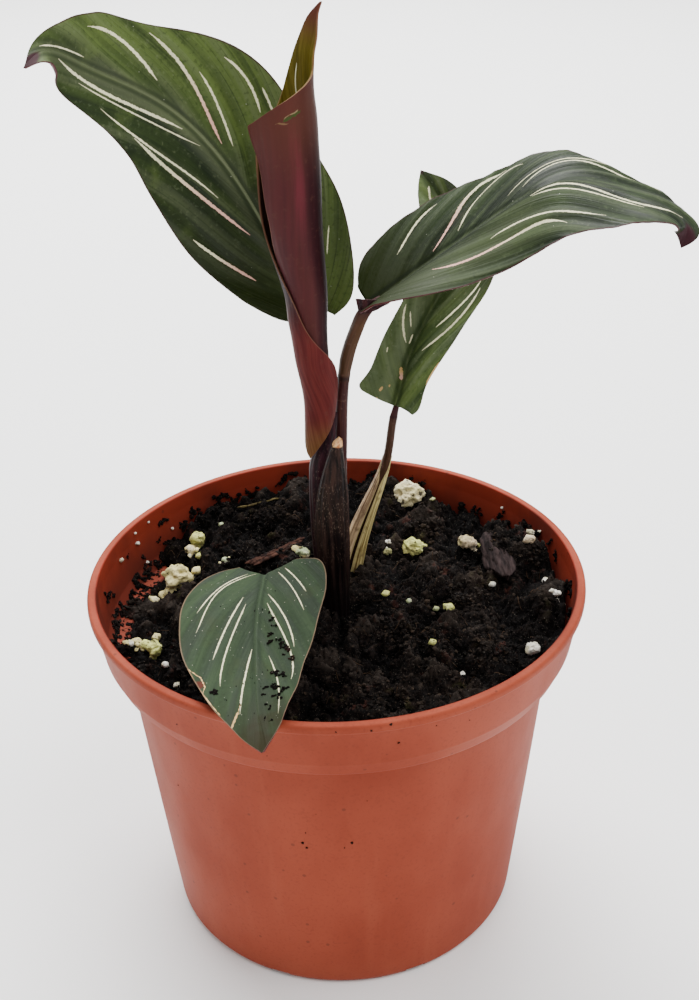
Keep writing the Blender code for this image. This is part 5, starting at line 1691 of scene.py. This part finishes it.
class CALATHEA_OT_soil(bpy.types.Operator):
    """Fills the pot with crumbly peat, loose crumbs, fine roots and crumbs stuck to the wall"""

    bl_idname = "calathea.soil"
    bl_label = "Soil"

    def execute(self, context):
        settings = context.scene.calathea_soil
        look = soil_material("peat", settings.dark, settings.light, tone(42, 30, 26))
        self.fill(look)
        self.crumbs(look, settings.crumbs)
        self.roots()
        return {"FINISHED"}

    def fill(self, look):
        """Soil: its top is soil_height on a grid of rings, and its side follows the pot's inner wall."""
        turn = full_turn(SOIL_STEPS)
        rim = np.full(SOIL_STEPS, SOIL_REACH)
        for _ in range(8):
            inside = wall_radius(soil_height(rim * np.cos(turn), rim * np.sin(turn))) - SOIL_GAP
            rim = np.minimum(rim, inside)
        radius = ((np.arange(1, SOIL_RINGS + 1) / SOIL_RINGS) ** 0.85)[:, None] * rim
        x, y = radius * np.cos(turn), radius * np.sin(turn)
        rings = [np.stack([x, y, soil_height(x, y)], -1)]
        for level, gap in SOIL_SIDE:
            rings.append(polar(wall_radius(level) - gap, turn, level)[None])
        points, faces = capped(np.concatenate(rings), (0, 0, float(soil_height(0, 0))), (0, 0, level))
        # Each point's rise over its surroundings: the material paints shade in the creases and lightens the
        # high tops from it.
        rise = np.zeros_like(points)
        rise[:, 0] = soil_lumps(points[:, 0], points[:, 1])
        place_on(new_object("peat", points, faces, {"soil_rise": rise}), look, "soil", "soil")

    def crumbs(self, look, count):
        """Crumbs lie on the soil, some in clumps; others cling to the wall near its line and in patches."""
        random = np.random.default_rng(7)
        radius = CRUMB_REACH * np.sqrt(random.uniform(0, 1, count))
        turn = random.uniform(0, 2 * pi, count)
        x, y = radius * np.cos(turn), radius * np.sin(turn)
        heaps = np.array([row for row in HEAPS if row[3] > 0])
        clumped = count // 3
        chosen = heaps[random.integers(0, len(heaps), clumped)]
        x[:clumped] = chosen[:, 0] + random.normal(size=clumped) * chosen[:, 2] * 0.45
        y[:clumped] = chosen[:, 1] + random.normal(size=clumped) * chosen[:, 2] * 0.45
        hold = np.minimum(1, CRUMB_LIMIT / np.hypot(x, y))
        x, y = x * hold, y * hold
        size = 0.35 * np.exp(random.uniform(0, 1.3, count))
        loose = np.stack([x, y, soil_height(x, y) + 0.16 * size], -1)
        turn, over, size_on_wall = self.wall_crumbs(random)
        near = wall_radius(82.0) - 0.6
        line = soil_height(near * np.cos(turn), near * np.sin(turn))
        height = np.clip(line + over, 76, 91.2)
        places = np.concatenate([loose, polar(wall_radius(height) - 0.2, turn, height)])
        rise = np.zeros((len(places), 3))
        rise[: len(loose), 0] = soil_lumps(x, y) + 0.4
        rise[:, 1] = random.uniform(0, 1, len(places)) ** 1.5
        points, faces = scatter(places, np.r_[size, size_on_wall], 8)
        facts = {"soil_rise": np.repeat(rise, len(points) // len(places), axis=0)}
        place_on(new_object("peat_crumbs", points, faces, facts, flat=True), look, "soil")

    def wall_crumbs(self, random):
        """Angle, height over the soil line and width of the wall's crumbs, in crooked chains."""
        starts = [(random.uniform(0, 360), random.uniform(-1.2, 0.3), 1.5) for _ in range(WALL_CHAINS)]
        for angle, middle, spread, tall, count, width in WALL_PATCHES:
            for _ in range(count):
                starts.append((angle + random.normal() * spread, middle + random.normal() * tall, width))
        turn, over, size = [], [], []
        for angle, middle, width in starts:
            chain = wander(random, CHAIN_LINKS, 0.5, 2.4)
            turn.append(np.radians(angle + chain[:, 0]))
            over.append(middle + 0.8 * chain[:, 1])
            size.append(random.uniform(0.5, 1.1, CHAIN_LINKS) ** 2 * width)
        return np.concatenate(turn), np.concatenate(over), np.concatenate(size)

    def roots(self):
        """Fine roots: short arcs that rise and fall as a sine over the soil, as square tubes."""
        random = np.random.default_rng(9)
        share = np.linspace(0, 1, 8)
        tubes = []
        for _ in range(ROOT_COUNT):
            radius = ROOT_REACH * random.uniform() ** 0.5
            angle, heading = random.uniform(0, 2 * pi), random.uniform(0, 2 * pi)
            length, curl = random.uniform(1.5, 4.5), random.uniform(-1.6, 1.6)
            way = heading + curl * share
            x = radius * cos(angle) + length * np.cumsum(np.cos(way)) / 8
            y = radius * sin(angle) + length * np.cumsum(np.sin(way)) / 8
            hold = np.minimum(1, ROOT_LIMIT / np.hypot(x, y))
            x, y = x * hold, y * hold
            z = soil_height(x, y) + 0.1 + random.uniform(0.2, 1.0) * np.sin(pi * share)
            z = np.convolve(np.r_[z[0], z, z[-1]], np.ones(3) / 3, "valid")
            thick = np.full(8, random.uniform(0.04, 0.09))
            tubes.append(tube_body(tube_rings(np.stack([x, y, z], -1), thick, 4)))
        made = new_object("fine_roots", *joined(tubes))
        place_on(made, bark_material("fine_root", tone(30, 22, 17), tone(78, 60, 44), (1, 1, 1)), "bark")


class CALATHEA_OT_lumps(bpy.types.Operator):
    """Lays the perlite, the bark and the long fibre on the soil"""

    bl_idname = "calathea.lumps"
    bl_label = "Perlite and bark"

    def execute(self, context):
        looks = {name: perlite_material(f"perlite_{name}", colour) for name, colour in TINTS.items()}
        random = np.random.default_rng(12)
        for i, (x, y, width, tint, pits) in enumerate(PERLITE):
            reach = width * np.array([1.1, 0.98, 0.86])
            points, faces = lump(reach, 40 + i, 0.3, 5 if width > 4.2 else 4, pits)
            spin = 0.0 if pits else random.uniform(0, 6)
            z = float(soil_base(x, y)) + width * (0.52 - PERLITE_SUNK) + 0.15
            made = new_object(f"perlite_lump_{i + 1:02d}", points @ turn_z(spin).T + (x, y, z), faces)
            place_on(made, looks[tint], "perlite", f"perlite_{i + 1:02d}")
        self.bits(looks)
        self.bark()
        return {"FINISHED"}

    def bits(self, looks):
        """Small perlite of one tint is one mesh: lumps of 80 faces, each with its own noise."""
        random = np.random.default_rng(13)
        turn, height, size = np.array(WALL_BITS).T
        heaps = [(tint, clump(*heap, random)) for *heap, tint in CLUSTERS]
        heaps.append(("white", np.c_[polar(wall_radius(height) - 0.3, np.radians(turn), height), size]))
        for tint, look in looks.items():
            x, y, size = np.array([row[:3] for row in BITS if row[3] == tint]).reshape(-1, 3).T
            places = [np.c_[x, y, soil_height(x, y) + 0.3 * size, size]]
            places += [heap for name, heap in heaps if name == tint]
            bodies = []
            for k, (x, y, z, width) in enumerate(np.concatenate(places)):
                body, triangles = lump((width * 1.1, width, width * 0.8), 90 + k, 0.42, 2)
                bodies.append((body @ turn_z(k).T + (x, y, z), triangles))
            place_on(new_object(f"perlite_bits_{tint}", *joined(bodies)), look, "perlite")

    def bark(self):
        """The dark flake is a long knobbly ball; the twig and the fibre are crooked tubes."""
        points, faces = lump(BARK_FLAKE_SIZE, 77, 0.22, 5)
        knobs = 0.5 * lattice_noise(points * (1, 0.15, 1), 0.9, 78)
        knobs += 0.25 * lattice_noise(points * (1, 0.3, 1), 0.4, 79)
        points[:, 2] += knobs
        x, y = BARK_FLAKE_AT
        placed = points @ turn_z(0.1).T + (x, y, float(soil_base(x, y)) + 2.2)
        look = bark_material("bark_dark", tone(18, 12, 12), tone(54, 43, 42), (1.4, 0.16, 1))
        place_on(new_object("bark_flake_dark", placed, faces), look, "bark", "bark_flake")
        red = bark_material("bark_red", tone(26, 15, 13), tone(84, 56, 46), (0.7, 0.7, 1))
        tan = bark_material("fibre_tan", tone(44, 36, 22), tone(104, 92, 56), (0.5, 1, 1))
        for name, route, look in (("bark_twig", BARK_TWIG, red), ("fibre", FIBRE, tan)):
            *ends, thick, lift, strands = route
            start, end = (np.array((x, y, float(soil_base(x, y)) + 0.5 * thick + lift)) for x, y in ends)
            made = new_object(f"{name}_rough", *bark_strips(start, end, thick, strands, 21))
            place_on(made, look, "bark", name)


class CALATHEA_OT_stalks(bpy.types.Operator):
    """Grows the stem of sheaths, the front sheath, the dry sheath and the four leaf stalks"""

    bl_idname = "calathea.stalks"
    bl_label = "Stem and stalks"

    def execute(self, context):
        purple = context.scene.calathea_plant.stalk
        add_crown()
        add_front_sheath()
        add_dry_sheath()
        add_stalk("left", purple, tone(66, 48, 34))
        add_stalk("right", tone(58, 26, 27), tone(80, 56, 38), 0.75)
        add_stalk("back", tone(70, 48, 34), tone(74, 42, 34), 0.945)
        add_stalk("low", purple, tone(56, 42, 30))
        return {"FINISHED"}


class CALATHEA_OT_leaves(bpy.types.Operator):
    """Grows the four open blades and the rolled young leaf, with their pinstripes"""

    bl_idname = "calathea.leaves"
    bl_label = "Leaves"

    def execute(self, context):
        settings = context.scene.calathea_plant
        pinstripe = stripe_group()
        for key in LEAVES:
            blade = add_blade(key, pinstripe, specks_group(), settings)
            if key == "low":
                self.debris(*blade)
        add_roll(pinstripe, settings.underside)
        add_base_fold()
        return {"FINISHED"}

    def debris(self, top, up, s, t):
        """Soil spilt on the low leaf: crooked chains of crumbs on its upper face near chosen flat places."""
        random = np.random.default_rng(14)
        places, sizes = [], []
        for along_rib, across, spread, chains, links, size in DEBRIS:
            for _ in range(chains):
                start = np.array([along_rib, across]) + random.normal(size=2) * spread * (1, 0.7)
                for at in start + wander(random, links, 0.3, 1.3):
                    near = np.unravel_index(np.argmin((s - at[0]) ** 2 + (t - at[1]) ** 2), s.shape)
                    width = size * random.uniform(0.5, 1.3)
                    places.append(top[near] + up[near] * 0.2 * width)
                    sizes.append(width)
        made = new_object("leaf_debris", *scatter(places, sizes, 15, 0.6), flat=True)
        look = soil_material("debris", tone(8, 6, 5), tone(34, 25, 20), tone(36, 24, 19))
        place_on(made, look, "soil")


class CALATHEA_OT_stage(bpy.types.Operator):
    """Sets the plain floor, the soft lights and the camera at the photograph's angle"""

    bl_idname = "calathea.stage"
    bl_label = "Stage"

    def execute(self, context):
        self.floor(context.scene)
        self.lights(context.scene)
        self.camera(context.scene)
        return {"FINISHED"}

    def floor(self, scene):
        """A pale square that the pot stands on."""
        square = np.array([(-1, -1, 0), (1, -1, 0), (1, 1, 0), (-1, 1, 0)]) * FLOOR_REACH
        mesh = bpy.data.meshes.new("floor")
        mesh.from_pydata((square * MM).tolist(), [], [(0, 1, 2, 3)])
        mesh.materials.append(new_material("pale_floor", Base_Color=tone(250, 250, 249), Roughness=0.8)[0])
        floor = bpy.data.objects.new("floor", mesh)
        scene.collection.objects.link(floor)

    def lights(self, scene):
        """An even white sky, and round lamps that look at their aims."""
        scene.world = scene.world or bpy.data.worlds.new("world")
        scene.world.use_nodes = True
        sky = scene.world.node_tree.nodes["Background"]
        sky.inputs["Color"].default_value = (1, 1, 1, 1)
        sky.inputs["Strength"].default_value = WORLD_STRENGTH
        for name, place, aim, size, power, spread in LIGHTS:
            data = bpy.data.lights.new(name, "AREA")
            data.shape = "DISK"
            data.size = size
            data.energy = power
            data.spread = radians(spread)
            lamp = bpy.data.objects.new(name, data)
            lamp.location = place
            lamp.rotation_euler = (Vector(aim) - Vector(place)).to_track_quat("-Z", "Y").to_euler()
            scene.collection.objects.link(lamp)

    def camera(self, scene):
        """The camera's axes: forward from yaw and pitch, and right and up turned about it by the roll."""
        data = bpy.data.cameras.new("photo_view")
        data.lens = CAMERA_LENS
        data.sensor_width = 36.0
        data.clip_start = 0.01
        camera = bpy.data.objects.new("photo_view", data)
        level = cos(CAMERA_PITCH)
        forward = Vector((sin(CAMERA_YAW) * level, cos(CAMERA_YAW) * level, -sin(CAMERA_PITCH)))
        right = Vector((cos(CAMERA_YAW), -sin(CAMERA_YAW), 0))
        up = right.cross(forward)
        right, up = (
            cos(CAMERA_ROLL) * right + sin(CAMERA_ROLL) * up,
            cos(CAMERA_ROLL) * up - sin(CAMERA_ROLL) * right,
        )
        turn = Matrix((right, up, -forward)).transposed().to_4x4()
        camera.matrix_world = Matrix.Translation(CAMERA_PLACE) @ turn
        scene.collection.objects.link(camera)
        scene.camera = camera


class CALATHEA_PT_panel(bpy.types.Panel):
    """Buttons and settings for each group of pieces"""

    bl_idname = "CALATHEA_PT_panel"
    bl_label = "Pinstripe Calathea"
    bl_space_type = "VIEW_3D"
    bl_region_type = "UI"
    bl_category = "Calathea"

    def draw(self, context):
        for group in SETTINGS:
            box = self.layout.box()
            settings = getattr(context.scene, group)
            for key in settings.__annotations__:
                box.prop(settings, key)
        for operator in OPERATORS:
            self.layout.operator(operator.bl_idname)


SETTINGS = {"calathea_pot": PotSettings, "calathea_soil": SoilSettings, "calathea_plant": PlantSettings}
OPERATORS = (
    CALATHEA_OT_pot, CALATHEA_OT_soil, CALATHEA_OT_lumps, CALATHEA_OT_stalks, CALATHEA_OT_leaves,
    CALATHEA_OT_stage,
)
CLASSES = (*SETTINGS.values(), *OPERATORS, CALATHEA_PT_panel)


def register():
    """Registers the classes and hangs each group of settings on the scene."""
    for kind in CLASSES:
        bpy.utils.register_class(kind)
    for name, kind in SETTINGS.items():
        setattr(bpy.types.Scene, name, PointerProperty(type=kind))


def unregister():
    """Takes back what register did."""
    for name in SETTINGS:
        delattr(bpy.types.Scene, name)
    for kind in reversed(CLASSES):
        bpy.utils.unregister_class(kind)


def main():
    """Makes everything in order."""
    register()
    bpy.ops.calathea.pot()
    bpy.ops.calathea.soil()
    bpy.ops.calathea.lumps()
    bpy.ops.calathea.stalks()
    bpy.ops.calathea.leaves()
    bpy.ops.calathea.stage()


if __name__ == "__main__":
    main()
